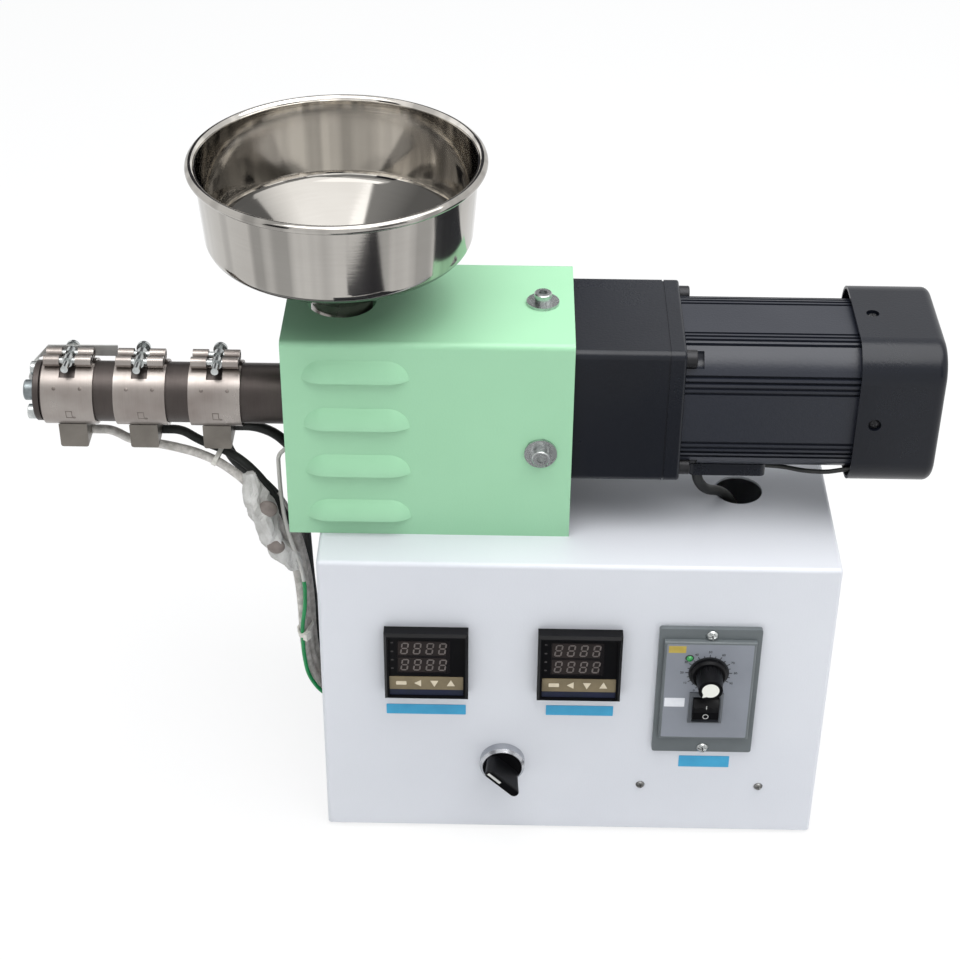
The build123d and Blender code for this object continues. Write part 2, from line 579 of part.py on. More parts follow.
def end_shield():
    """Rear end shield of the motor, which the fan cover slides over and is screwed to."""
    half = FAN_HALF - FAN_SHEET - CURVE_GAP
    shield = rounded_bar_x(SHIELD_START, SHIELD_END, half, FAN_CORNER - FAN_SHEET - CURVE_GAP)
    return shield - rounded_bar_x(SHIELD_START - 1, MOTOR_END, MOTOR_HALF + CURVE_GAP, MOTOR_CORNER)


def fan_cover():
    """Deep-drawn rounded-square fan cover with air slots in its closed end."""
    shell = rounded_bar_x(FAN_START, FAN_END, FAN_HALF, FAN_CORNER)
    shell = fillet(shell.edges().group_by(Axis.X)[-1], FAN_EDGE)
    shell -= rounded_bar_x(FAN_START - 1, FAN_END - FAN_SHEET, FAN_HALF - FAN_SHEET, FAN_CORNER - FAN_SHEET)
    for ring, count in FAN_SLOT_RINGS:
        for i in range(count):
            hole = Rot(360 * i / count, 0, 0) * Pos(0, 0, ring)
            slot = hole * Rot(0, 90, 0) * Cylinder(FAN_SLOT_RADIUS, FAN_EDGE)
            shell -= Pos(FAN_END - FAN_EDGE / 2, AXIS_Y, MOTOR_Z) * slot
    shell -= rod_z(MOTOR_Z, MOTOR_Z + FAN_HALF + 1, FAN_SCREW_RADIUS, FAN_SCREW_X, AXIS_Y)
    shell -= rod_y(AXIS_Y - FAN_HALF - 1, AXIS_Y, FAN_SCREW_RADIUS, FAN_SCREW_X, MOTOR_Z)
    return shell


def lead_cover():
    """Shallow cover over the motor's lead exit, saddled under the housing."""
    cover = block(LEAD_COVER_START, LEAD_COVER_END, LEAD_COVER_FRONT, LEAD_COVER_BACK,
                  LEAD_COVER_BOTTOM, MOTOR_Z - MOTOR_CORNER)
    cover = fillet(cover.edges().filter_by(Axis.Z), LEAD_COVER_ROUND)
    return cover - rounded_bar_x(LEAD_COVER_START - 1, LEAD_COVER_END + 1, MOTOR_HALF + CURVE_GAP, MOTOR_CORNER)


def controller(x, z):
    """Square temperature controller: bevelled bezel with a recessed face, and its case behind."""
    half = CONTROLLER_SIZE / 2
    bezel = block(x - half, x + half, PANEL_Y - CONTROLLER_RISE, PANEL_Y, z - half, z + half)
    bezel = chamfer(bezel.edges().group_by(Axis.Y)[0], 1.5)
    inner = half - CONTROLLER_BORDER
    bezel -= block(x - inner, x + inner, PANEL_Y - CONTROLLER_RISE - 1,
                   PANEL_Y - CONTROLLER_RISE + CONTROLLER_RECESS, z - inner, z + inner)
    case = CONTROLLER_BODY / 2
    return bezel + block(x - case, x + case, PANEL_Y, PANEL_Y + CONTROLLER_LENGTH, z - case, z + case)


def drive_unit():
    """Speed controller: flat plate on the panel, raised face on it, case behind."""
    x, z = DRIVE_CENTRE
    width, height = DRIVE_PLATE
    y0 = PANEL_Y - DRIVE_PLATE_RISE
    plate = block(x - width / 2, x + width / 2, y0, PANEL_Y, z - height / 2, z + height / 2)
    plate = fillet(plate.edges().filter_by(Axis.Y), 1.5)
    width, height = DRIVE_FACE
    face = block(x - width / 2, x + width / 2, y0 - DRIVE_FACE_RISE, y0,
                 DRIVE_FACE_Z - height / 2, DRIVE_FACE_Z + height / 2)
    face = fillet(face.edges().group_by(Axis.Y)[0], 1.0)
    width, height, depth = DRIVE_BODY
    case = block(x - width / 2, x + width / 2, PANEL_Y, PANEL_Y + depth, z - height / 2, z + height / 2)
    unit = plate + face + case
    front = y0 - DRIVE_FACE_RISE
    unit -= rod_y(front - 1, front + SHAFT_LENGTH + 2, SHAFT_RADIUS + TURN_GAP, *DIAL_CENTRE)
    width, height = ROCKER_OPENING
    x, z = ROCKER_CENTRE
    unit -= block(x - width / 2, x + width / 2, front - 1, front + ROCKER_RADIUS + 4, z - height / 2, z + height / 2)
    return unit


def speed_knob():
    """Skirted knob with fine flutes and a flat cap, on its shaft."""
    skirt = Pos(0, 0, KNOB_SKIRT_HEIGHT / 2) * Cylinder(KNOB_SKIRT_RADIUS, KNOB_SKIRT_HEIGHT)
    skirt = chamfer(skirt.edges().group_by(Axis.Z)[-1], 1.2)
    grip = extrude(Circle(KNOB_RADIUS), KNOB_HEIGHT, taper=KNOB_TAPER)
    for i in range(KNOB_FLUTES):
        flute = Pos(KNOB_RADIUS, 0, 0) * Cylinder(KNOB_FLUTE_RADIUS, 2 * KNOB_HEIGHT - 4)
        grip -= Rot(0, 0, 360 * i / KNOB_FLUTES) * flute
    shaft = Pos(0, 0, -SHAFT_LENGTH / 2) * Cylinder(SHAFT_RADIUS, SHAFT_LENGTH)
    front = PANEL_Y - DRIVE_PLATE_RISE - DRIVE_FACE_RISE - TURN_GAP
    x, z = DIAL_CENTRE
    return Plane(origin=(x, front, z), x_dir=(1, 0, 0), z_dir=(0, -1, 0)).location * (skirt + grip + shaft)


def rocker_frame():
    """Bevelled frame round the rocker."""
    x, z = ROCKER_CENTRE
    front = PANEL_Y - DRIVE_PLATE_RISE - DRIVE_FACE_RISE
    width, height = ROCKER_FRAME
    frame = block(x - width / 2, x + width / 2, front - ROCKER_FRAME_RISE, front, z - height / 2, z + height / 2)
    frame = chamfer(frame.edges().group_by(Axis.Y)[0], 1.2)
    width, height = ROCKER_OPENING
    return frame - block(x - width / 2, x + width / 2, front - 10, front + 1, z - height / 2, z + height / 2)


def rocker():
    """Rocker: a barrel-shaped key with a shallow V face, tipped to one side."""
    x, z = ROCKER_CENTRE
    front = PANEL_Y - DRIVE_PLATE_RISE - DRIVE_FACE_RISE
    key = Circle(ROCKER_RADIUS) & Pos(0, ROCKER_RADIUS / 2 - 2) * Rectangle(2 * ROCKER_RADIUS, ROCKER_RADIUS + 4)
    for side in (-1, 1):
        key -= Pos(0, ROCKER_RADIUS - 2.4) * Rot(0, 0, side * ROCKER_TILT) * Pos(side * 10, 5) * Rectangle(20, 10)
    key = extrude(Plane.XY * key, ROCKER_WIDTH / 2, both=True)
    place = Plane(origin=(x, front + 2.2, z), x_dir=(0, 0, 1), z_dir=(1, 0, 0))
    return place.location * Rot(0, 0, ROCKER_TILT) * key


def selector_ring():
    """Satin ring of the selector switch, with its threaded body behind the panel."""
    ring = rod_y(PANEL_Y - SELECTOR_RING_RISE, PANEL_Y, SELECTOR_RING_RADIUS, *SELECTOR_CENTRE)
    ring = chamfer(ring.edges().group_by(Axis.Y)[0], 1.6)
    ring += rod_y(PANEL_Y, PANEL_Y + SELECTOR_STEM, SELECTOR_BODY_RADIUS, *SELECTOR_CENTRE)
    return ring - rod_y(PANEL_Y - SELECTOR_RING_RISE - 1, PANEL_Y - 1, SELECTOR_CUP_RADIUS, *SELECTOR_CENTRE)


def selector_handle():
    """Black turning handle: round base with a tapered bar across it."""
    base = Pos(0, 0, HANDLE_BASE_RISE / 2) * Cylinder(HANDLE_BASE_RADIUS, HANDLE_BASE_RISE)
    foot = SlotOverall(HANDLE_LENGTH - 5, HANDLE_WIDTH)
    crest = Pos(0, 0, HANDLE_RISE) * SlotOverall(HANDLE_LENGTH - 1, HANDLE_WIDTH - 2.4)
    bar = loft([foot, crest])
    bar = fillet(bar.edges().group_by(Axis.Z)[-1], 1.0)
    front = PANEL_Y - SELECTOR_RING_RISE + 3.5
    x, z = SELECTOR_CENTRE
    place = Plane(origin=(x, front, z), x_dir=(1, 0, 0), z_dir=(0, -1, 0)).location
    return place * Rot(0, 0, -HANDLE_TURN) * (base + bar)


def mains_gland():
    """Plastic gland for the supply lead on the base's end wall."""
    x = BASE_LENGTH / 2
    gland = extrude(Plane.YZ.offset(x) * Pos(GLAND_Y, GLAND_Z) * RegularPolygon(GLAND_RADIUS, 6), 5)
    gland += rod_x(x + 5, x + GLAND_LENGTH, GLAND_RADIUS * 0.75, GLAND_Y, GLAND_Z)
    gland += rod_x(x - 8, x, GLAND_RADIUS * 0.7, GLAND_Y, GLAND_Z)
    return gland - rod_x(x - 9, x + GLAND_LENGTH + 1, GLAND_RADIUS * 0.4, GLAND_Y, GLAND_Z)


def from_corner(points, x):
    """Route points measured from x, the machine axis and the base's top, as places in the frame."""
    return [(x + along, AXIS_Y + across, BASE_TOP + up) for along, across, up in points]


# Leads, each as the points where its straight runs meet. The heater leads are measured from
# the base's left end, the machine axis and the base's top; the motor's from its lead cover.
SLEEVE_1_ROUTE = ((-133.1, 2.6, 36.1), (-122.1, 2.6, 36.1), (-111.5, 2.1, 29.4), (-93.5, -0.4, 28.5),
                  (-74.5, -3.4, 25.7), (-60.5, -6.4, 21), (-48.5, -10.4, 14), (-38, -14.4, 4.5),
                  (-29.5, -17.4, -7), (-23, -19.4, -20.5), (-18.5, -20.4, -35.5), (-16, -20.9, -53.5),
                  (-15, -21.4, -74.5), (-15, -21.9, -96.5), (-13.5, -22.4, -115.5),
                  (-8, -22.4, -130.5), (2.5, -22.4, -141), (14.5, -22.4, -146.5))
SLEEVE_2_ROUTE = ((-93, 3.6, 36.1), (-82, 3.6, 36.1), (-71.3, 2.1, 29.4), (-57, -0.9, 25.5),
                  (-45.5, -4.4, 19), (-36, -7.9, 10), (-28.5, -10.9, -1.5), (-22, -12.9, -15),
                  (-16.5, -14.2, -30.5), (-13.5, -14.7, -49.5), (-13, -15.4, -71.5),
                  (-13, -15.9, -94.5), (-11.5, -16.4, -114.5), (-6, -16.4, -130), (4.5, -16.4, -140.5),
                  (16.5, -16.4, -145.5))
BLACK_SLEEVE_ROUTE = ((-57.5, 6.8, 32.9), (-57.5, 6.8, 22.7), (-53.1, 6.6, 13.2), (-45.2, 5.4, 6.3),
                      (-37, 3.4, -0.5), (-29, 1.4, -9.1), (-22.5, -1.2, -21), (-17.3, -4.2, -37),
                      (-13.5, -6.4, -55.5), (-12, -7.4, -76.5), (-12, -7.9, -97.5),
                      (-11, -8.9, -115.5), (-5.5, -9.9, -130), (5.5, -9.9, -140), (17.5, -9.9, -145.5))
EARTH_ROUTE = ((-11.6, -21.4, 41.5), (-18.8, -21.4, 41.5), (-24, -21.4, 36.3), (-24, -21.9, 26.5),
               (-23.5, -23.4, 10.5), (-22, -25.4, -5.5), (-18.5, -26.9, -22.5), (-14, -26.9, -37.5),
               (-12.1, -26.4, -53.5), (-12.7, -26.4, -69.5), (-15.2, -26.4, -84.5),
               (-15, -26.9, -105.5), (-12.8, -27.4, -121.5), (-5.5, -27.4, -134.5),
               (6.5, -27.4, -141.5))
SHEATH_ROUTE = ((-51.4, 6.1, 37.8), (-40, 6.1, 37.8), (-29.3, 7.2, 32.5), (-21.1, 8.6, 23),
                (-16.8, 10, 9.5), (-15.3, 10.6, -7.5), (-14.5, 8.6, -24.5), (-13.5, 5.6, -43.5),
                (-12.5, 2.6, -63.5), (-11, 0.6, -83.5), (-10, -0.4, -102.5), (-8, -0.9, -119.5),
                (-1, -1.4, -132), (10.5, -1.4, -140.5), (22.5, -1.4, -145.5))
CABLE_ROUTE = ((6.3, -15.6, 32.9), (6.3, -15.6, 20.5), (12.2, -11.4, 10), (22.4, -4.2, 4.3),
               (30, 0.6, -6.5), (33, 2.2, -19.5))
FAN_LEAD_ROUTE = ((43.1, -23.4, 35.7), (53, -24.4, 35.7), (65, -29.4, 36.3), (77, -33.4, 38.5),
                  (85, -35.2, 41.5), (91.8, -35.6, 42.7))

# Base box
save("base_shell", base_shell())
save("base_floor", base_floor())
feet()
save("mains_gland", mains_gland())

# Guard and the supports under it
save("guard_cover", guard_cover())
guard_bolts()
save("motor_stand", motor_stand())
save("feed_block", feed_block())
save("shaft_housing", shaft_housing())

# Hopper
save("hopper", hopper())
save("hopper_neck", hopper_neck())

# Barrel and heaters
save("barrel", barrel())
save("end_plate", end_plate())
save("nozzle", nozzle())
end_bolts()
for i, start in enumerate(BAND_STARTS):
    save(f"heater_band_{i + 1}", heater_band(start))
    save(f"clamp_screw_{i + 1}", clamp_screw(start, CLAMP_SHIFTS[i]))
    save(f"terminal_box_{i + 1}", terminal_box(TERMINAL_STARTS[i]))

# Gear motor
save("gearbox", gearbox())
save("gearbox_flange", gearbox_flange())
frame_bolts()
save("motor_body", motor_body())
save("end_shield", end_shield())
save("fan_cover", fan_cover())
save("lead_cover", lead_cover())

# Control panel
for side, (x, z) in zip(("left", "right"), CONTROLLER_CENTRES):
    save(f"controller_{side}", controller(x, z))
save("drive_unit", drive_unit())
save("speed_knob", speed_knob())
save("rocker_frame", rocker_frame())
save("rocker", rocker())
save("selector_ring", selector_ring())
save("selector_handle", selector_handle())

# Leads
heater_leads = (
    ("sleeve_1", SLEEVE_1_ROUTE, SLEEVE_RADIUS),
    ("sleeve_2", SLEEVE_2_ROUTE, SLEEVE_RADIUS),
    ("black_sleeve", BLACK_SLEEVE_ROUTE, BLACK_SLEEVE_RADIUS),
    ("earth_lead", EARTH_ROUTE, EARTH_RADIUS),
    ("dark_sheath", SHEATH_ROUTE, SHEATH_RADIUS),
)
motor_leads = (
    ("motor_cable", CABLE_ROUTE, CABLE_RADIUS),
    ("fan_lead", FAN_LEAD_ROUTE, FAN_LEAD_RADIUS),
)
for name, route, radius in heater_leads:
    save(name, tube_along(name, from_corner(route, LEFT_WALL), radius))
for name, route, radius in motor_leads:
    save(name, tube_along(name, from_corner(route, LEAD_COVER_START), radius))
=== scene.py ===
import bpy
import numpy as np
from mathutils import Matrix, Vector


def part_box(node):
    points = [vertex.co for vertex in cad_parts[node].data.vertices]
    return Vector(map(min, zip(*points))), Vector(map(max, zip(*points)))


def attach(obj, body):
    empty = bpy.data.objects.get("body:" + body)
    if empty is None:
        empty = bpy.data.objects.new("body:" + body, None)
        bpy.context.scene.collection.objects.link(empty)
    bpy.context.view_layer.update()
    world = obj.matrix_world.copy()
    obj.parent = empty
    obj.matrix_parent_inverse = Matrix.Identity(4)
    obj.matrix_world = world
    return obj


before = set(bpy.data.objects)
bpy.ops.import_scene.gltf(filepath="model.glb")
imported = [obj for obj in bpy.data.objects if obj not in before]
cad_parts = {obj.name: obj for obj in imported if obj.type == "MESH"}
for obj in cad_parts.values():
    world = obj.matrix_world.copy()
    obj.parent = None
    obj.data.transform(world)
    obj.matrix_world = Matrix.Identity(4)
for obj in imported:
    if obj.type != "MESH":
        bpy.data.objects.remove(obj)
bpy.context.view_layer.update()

# Camera. The machine stands on a bench below eye level, seen from the front with a long lens.
# The place, the three turns and the focal length put the object where the photograph has it.
CAMERA_PLACE = np.array([-0.04295, -0.99971, 0.89535])
CAMERA_YAW = -0.0137
CAMERA_PITCH = 0.6104
CAMERA_ROLL = 0.0074
FOCAL_PIXELS = 2061.14
IMAGE_PIXELS = 960
SENSOR = 36.0


def camera_matrix():
    """Axes of the camera: forward is turned by yaw and dipped by pitch, right is level, up closes
    the set, and both turn by roll."""
    cy, sy = np.cos(CAMERA_YAW), np.sin(CAMERA_YAW)
    cp, sp = np.cos(CAMERA_PITCH), np.sin(CAMERA_PITCH)
    forward = np.array([sy * cp, cy * cp, -sp])
    right = np.array([cy, -sy, 0.0])
    up = np.cross(right, forward)
    c, s = np.cos(CAMERA_ROLL), np.sin(CAMERA_ROLL)
    columns = (c * right + s * up, -s * right + c * up, -forward, CAMERA_PLACE)
    return Matrix(np.vstack([np.column_stack(columns), [0, 0, 0, 1]]).tolist())


lens = bpy.data.cameras.new("lens")
lens.sensor_width = SENSOR
lens.lens = FOCAL_PIXELS / IMAGE_PIXELS * SENSOR
lens.clip_start = 0.01
lens.clip_end = 50
camera = bpy.data.objects.new("camera", lens)
camera.matrix_world = camera_matrix()
bpy.context.scene.collection.objects.link(camera)
bpy.context.scene.camera = camera
bpy.context.scene.view_settings.view_transform = "Standard"

# Studio. A pale floor that keeps the object's soft shadow, a white surround, large soft boxes
# above and in front, and dark cards that only glossy surfaces can see.
WHITE_LIGHT = (1.0, 1.0, 1.0, 1.0)
AMBIENT_TINT = (0.94, 0.97, 1.0, 1.0)
WORLD_STRENGTH = 0.6
FLOOR_TONE = (0.9, 0.9, 0.9, 1.0)
FLOOR_GLOW = 0.8
FLOOR_HALF = 6
CARD_TONE = (0.03, 0.03, 0.035, 1.0)
CARDS = (
    ("card_left", [(-1.5, -1.2, 0.3), (-1.0, -1.5, 0.3), (-1.0, -1.5, 1.6), (-1.5, -1.2, 1.6)]),
    ("card_right", [(0.9, -1.6, 0.3), (1.5, -1.2, 0.3), (1.5, -1.2, 1.6), (0.9, -1.6, 1.6)]),
    ("card_back", [(-0.9, 1.8, 0.5), (0.1, 1.9, 0.5), (0.1, 1.7, 1.5), (-0.9, 1.6, 1.5)]),
    ("card_motor",
     [(-0.04, -0.56, 0.001), (0.22, -0.56, 0.001), (0.22, -0.36, 0.001), (-0.04, -0.36, 0.001)]),
    ("card_panel",
     [(-0.15, -0.34, 0.001), (0.15, -0.34, 0.001), (0.15, -0.11, 0.001), (-0.15, -0.11, 0.001)]),
)
LAMP_TARGET = (0, 0, 0.2)
LAMPS = (("lamp_key", (-0.35, -0.55, 1.75), 1.0, 4), ("lamp_fill", (1.3, -1.1, 1.0), 1.1, 1.5),
         ("lamp_top", (0.3, -0.2, 1.7), 1.7, 32))


def add(tree, kind, *inputs, **settings):
    """Adds a node of a kind and gives its outputs. Each input is its name or number, with a value
    or the socket that feeds it; settings are the node's own, such as its operation."""
    node = tree.nodes.new(f"ShaderNode{kind}")
    for setting, value in settings.items():
        setattr(node, setting, value)
    for place, value in inputs:
        if isinstance(value, bpy.types.NodeSocket):
            tree.links.new(value, node.inputs[place])
        else:
            node.inputs[place].default_value = value
    return node.outputs


def calc(tree, operation, *values):
    """Output of a Math node that works on values or sockets."""
    return add(tree, "Math", *enumerate(values), operation=operation)[0]


def seen_directly(tree):
    """One where the ray comes from the camera, a mirror or a clear piece, and zero elsewhere."""
    path = add(tree, "LightPath")
    seen = calc(tree, "MAXIMUM", path["Is Camera Ray"], path["Is Glossy Ray"])
    return calc(tree, "MAXIMUM", seen, path["Is Transmission Ray"])


world = bpy.data.worlds.new("surround")
bpy.context.scene.world = world
world.use_nodes = True
tree = world.node_tree
tree.nodes.clear()
ambient = add(tree, "Background", ("Color", AMBIENT_TINT), ("Strength", WORLD_STRENGTH))
white = add(tree, "Background", ("Color", WHITE_LIGHT), ("Strength", 1.0))
sky = add(tree, "MixShader", (0, seen_directly(tree)), (1, ambient[0]), (2, white[0]))
add(tree, "OutputWorld", (0, sky[0]))

paper = bpy.data.materials.new("floor_paper")
paper.use_nodes = True
tree = paper.node_tree
tree.nodes.clear()
matt = add(tree, "BsdfDiffuse", ("Color", FLOOR_TONE))
glow = add(tree, "Emission", ("Color", WHITE_LIGHT))
share = calc(tree, "MULTIPLY", seen_directly(tree), FLOOR_GLOW)
add(tree, "OutputMaterial", (0, add(tree, "MixShader", (0, share), (1, matt[0]), (2, glow[0]))[0]))


def stage_card(name, corners, material):
    """Flat four-cornered card from its corners in metres, kept apart from the object."""
    mesh = bpy.data.meshes.new(name)
    mesh.from_pydata(corners, [], [(0, 1, 2, 3)])
    mesh.materials.append(material)
    card = bpy.data.objects.new(name, mesh)
    bpy.context.scene.collection.objects.link(card)
    return card


FLOOR_CORNERS = [(x * FLOOR_HALF, y * FLOOR_HALF, 0) for x, y in ((-1, -1), (1, -1), (1, 1), (-1, 1))]
stage_card("floor", FLOOR_CORNERS, paper)

flag = bpy.data.materials.new("dark_card")
flag.use_nodes = True
flag.node_tree.nodes["Principled BSDF"].inputs["Base Color"].default_value = CARD_TONE
flag.node_tree.nodes["Principled BSDF"].inputs["Roughness"].default_value = 1.0
for card_name, corners in CARDS:
    card = stage_card(card_name, corners, flag)
    card.visible_camera = False
    card.visible_diffuse = False
    card.visible_shadow = False
    card.visible_transmission = False


def soft_box(name, place, size, power):
    """Square area lamp at a place in metres, turned to the object."""
    lamp = bpy.data.lights.new(name, "AREA")
    lamp.shape = "SQUARE"
    lamp.size = size
    lamp.energy = power
    holder = bpy.data.objects.new(name, lamp)
    holder.rotation_mode = "QUATERNION"
    holder.rotation_quaternion = (Vector(LAMP_TARGET) - Vector(place)).to_track_quat("-Z", "Y")
    holder.location = place
    bpy.context.scene.collection.objects.link(holder)


for lamp in LAMPS:
    soft_box(*lamp)


# Base box. Folded from 1.5 mm sheet steel and powder coated white: a slight orange peel, satin,
# with a closed floor plate inside the folds.
def to_linear(red, green, blue):
    """Colour on the screen, 0 to 255, as linear light: the usual power of 2.4 above the toe."""
    value = np.array([red, green, blue]) / 255
    lit = np.where(value > 0.04045, ((value + 0.055) / 1.055) ** 2.4, value / 12.92)
    return (*lit.tolist(), 1.0)


def spread(tree, value, low, high, least=0.0, most=1.0):
    """Carries a value from between low and high to between least and most."""
    return add(tree, "MapRange", ("Value", value), ("From Min", low), ("From Max", high), ("To Min", least),
               ("To Max", most))["Result"]


def vector_calc(tree, operation, *values):
    """Output of a Vector Math node: a number for a dot product or a length, else a vector."""
    kind = "Value" if operation in ("DOT_PRODUCT", "LENGTH") else "Vector"
    return add(tree, "VectorMath", *enumerate(values), operation=operation)[kind]


def grain_group():
    """Finish that is never quite even. Broad noise at Patch Scale blends two tones and two
    roughnesses, and fine noise at Grain Scale, with its place stretched, gives the height."""
    group = bpy.data.node_groups.new("surface_grain", "ShaderNodeTree")
    for direction, kind, names in (
            ("INPUT", "Color", ("Tone A", "Tone B")), ("INPUT", "Vector", ("Stretch",)),
            ("INPUT", "Float", ("Patch Scale", "Grain Scale", "Smooth", "Rough", "Grain Share")),
            ("OUTPUT", "Color", ("Tone",)), ("OUTPUT", "Float", ("Roughness", "Height"))):
        for name in names:
            group.interface.new_socket(name=name, in_out=direction, socket_type=f"NodeSocket{kind}")
    entry = group.nodes.new("NodeGroupInput").outputs
    leave = group.nodes.new("NodeGroupOutput").inputs
    place = add(group, "TexCoord")["Object"]
    stretched = vector_calc(group, "MULTIPLY", place, entry["Stretch"])
    patch = add(group, "TexNoise", ("Vector", place), ("Scale", entry["Patch Scale"]), ("Detail", 3.0))["Fac"]
    grain = add(group, "TexNoise", ("Vector", stretched), ("Scale", entry["Grain Scale"]),
                ("Detail", 4.0))["Fac"]
    both = add(group, "Mix", ("Factor", entry["Grain Share"]), ("A", spread(group, patch, 0.32, 0.68)),
               ("B", grain))["Result"]
    tone = add(group, "Mix", ("Factor", both), ("A", entry["Tone A"]), ("B", entry["Tone B"]),
               data_type="RGBA")
    group.links.new(tone["Result"], leave["Tone"])
    group.links.new(spread(group, both, 0.0, 1.0, entry["Smooth"], entry["Rough"]), leave["Roughness"])
    group.links.new(grain, leave["Height"])
    return group


GRAIN = grain_group()


def finish(name, tones, rough, patch, grain, bump, stretch=(1, 1, 1), share=0.25, **sockets):
    """Material whose colour and roughness wander between two values and whose fine grain is bump.
    tones are two colours on the screen, patch and grain noise scales, bump a depth in metres."""
    material = bpy.data.materials.new(name)
    material.use_nodes = True
    tree = material.node_tree
    shader = tree.nodes["Principled BSDF"].inputs
    for socket, value in sockets.items():
        shader[socket.replace("_", " ").title().replace("Ior", "IOR")].default_value = value
    texture = add(tree, "Group", ("Tone A", to_linear(*tones[0])), ("Tone B", to_linear(*tones[1])),
                  ("Smooth", rough[0]), ("Rough", rough[1]), ("Patch Scale", patch), ("Grain Scale", grain),
                  ("Stretch", stretch), ("Grain Share", share), node_tree=GRAIN)
    relief = add(tree, "Bump", ("Height", texture["Height"]), ("Distance", bump), ("Strength", 1.0))
    tree.links.new(texture["Tone"], shader["Base Color"])
    tree.links.new(texture["Roughness"], shader["Roughness"])
    tree.links.new(relief["Normal"], shader["Normal"])
    return material


def dress(material, *names):
    """Gives CAD nodes their finish."""
    for name in names:
        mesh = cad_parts[name].data
        mesh.materials.clear()
        mesh.materials.append(material)


WHITE_COAT = finish("white_powder_coat", ((212, 214, 219), (206, 208, 214)), (0.34, 0.46), 9, 900, 0.00007)
dress(WHITE_COAT, "base_shell", "base_floor")

# Feet. Four round buttons of hard black rubber under the corners of the box, each held to the
# floor plate by a screw.
RUBBER = finish("black_rubber", ((26, 26, 27), (38, 38, 39)), (0.6, 0.8), 120, 1500, 0.00012)
dress(RUBBER, "foot_fl", "foot_fr", "foot_bl", "foot_br")

# Panel screws. Two small zinc pan heads low on the front hold the tray inside the box; each has
# a cross recess pressed in its crown.
MM = 0.001
PANEL_FRONT = -90.0
FORWARD = (0, -1, 0)
PANEL_SCREWS = ((41.9, PANEL_FRONT, 38.0), (112.5, PANEL_FRONT, 38.0))
PANEL_HEAD = (2.7, 1.9)
SCREW_SPIN = 0.3
RECESS_WIDTH = 0.13
RECESS_REACH = 0.62
RECESS_DEPTH = 0.45


def put(name, vertices, faces, material, body, slot, smooth=True):
    """Makes a piece from points in millimetres and lets it ride with a CAD body."""
    mesh = bpy.data.meshes.new(name)
    mesh.from_pydata((np.asarray(vertices, float) * MM).tolist(), [], faces)
    mesh.polygons.foreach_set("use_smooth", np.full(len(mesh.polygons), smooth))
    mesh.materials.append(material)
    piece = bpy.data.objects.new(name, mesh)
    bpy.context.scene.collection.objects.link(piece)
    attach(piece, body)


def ring_faces(rows, count):
    """Quads between rows of a closed grid: row r, column c joins r + 1 and c + 1, wrapping c."""
    r, c = np.meshgrid(np.arange(rows - 1), np.arange(count), indexing="ij")
    n = (c + 1) % count
    quads = np.stack([r * count + c, r * count + n, (r + 1) * count + n, (r + 1) * count + c], -1)
    return quads.reshape(-1, 4).tolist()


def joined(*meshes):
    """Several pairs of points and faces as one pair: each face is counted on from the points that
    came before its own."""
    points, faces = [], []
    for part, part_faces in meshes:
        first = sum(len(earlier) for earlier in points)
        points.append(part)
        faces += [[first + i for i in face] for face in part_faces]
    return np.vstack(points), faces


def circle(count):
    """Angles of the points of a closed circle."""
    return np.linspace(0, 2 * np.pi, count, endpoint=False)


def pan_heads(centres, facing, radius, height):
    """Cross-recessed screw heads. Height over the disc is a dome, h (1 - (r / R)^2.6), less a
    cross where either coordinate is narrow and r is small; facing is the outward direction."""
    across, around = 14, 48
    share, angle = np.linspace(1, 0, across)[:, None], circle(around)[None]
    x, y = radius * share * np.cos(angle), radius * share * np.sin(angle)
    u = x * np.cos(SCREW_SPIN) + y * np.sin(SCREW_SPIN)
    v = y * np.cos(SCREW_SPIN) - x * np.sin(SCREW_SPIN)
    cross = (np.minimum(np.abs(u), np.abs(v)) < RECESS_WIDTH * radius) & (share < RECESS_REACH)
    h = height * (1 - share**2.6) - np.where(cross, RECESS_DEPTH * height, 0)
    h[0] = 0
    local = np.stack([x, y, h], -1).reshape(-1, 3)
    local[-around:] = local[-1]
    w = np.array(facing, float)
    side = np.cross(w, [0, 0, 1.0]) if abs(w[2]) < 0.9 else np.array([1.0, 0, 0])
    turned = local @ np.vstack([side, np.cross(w, side), w])
    faces = ring_faces(across, around) + [list(range(around))[::-1]]
    return joined(*((np.array(centre) + turned, faces) for centre in centres))


ZINC = finish("bright_zinc", ((205, 208, 207), (160, 164, 164)), (0.16, 0.34), 260, 2600, 0.00003,
              metallic=1.0)
DULL_ZINC = finish("dull_zinc", ((150, 150, 148), (96, 96, 95)), (0.25, 0.45), 400, 2600, 0.00004,
                   metallic=1.0)
put("panel_screws", *pan_heads(PANEL_SCREWS, FORWARD, *PANEL_HEAD), DULL_ZINC, "frame", "zinc")

# Guard. One sheet folded over the feed end, with four louvres pressed out of its front and a
# round hole for the hopper's neck; mint green powder coat, satin.
MINT_COAT = finish("mint_powder_coat", ((156, 206, 168), (149, 200, 161)), (0.32, 0.44), 11, 900, 0.00007)
dress(MINT_COAT, "guard_cover")
dress(ZINC, "guard_bolt_top", "guard_bolt_front", "guard_bolt_back")

# Supports under the guard. A machined block carries the gearbox, a block on a column seats the
# barrel and the hopper's neck, and a tube joins them; grey machined steel.
MACHINED = finish("machined_steel", ((132, 133, 134), (104, 105, 107)), (0.3, 0.5), 40, 1800, 0.00004,
                  stretch=(0.05, 1, 1), metallic=1.0)
dress(MACHINED, "motor_stand", "feed_block", "shaft_housing")

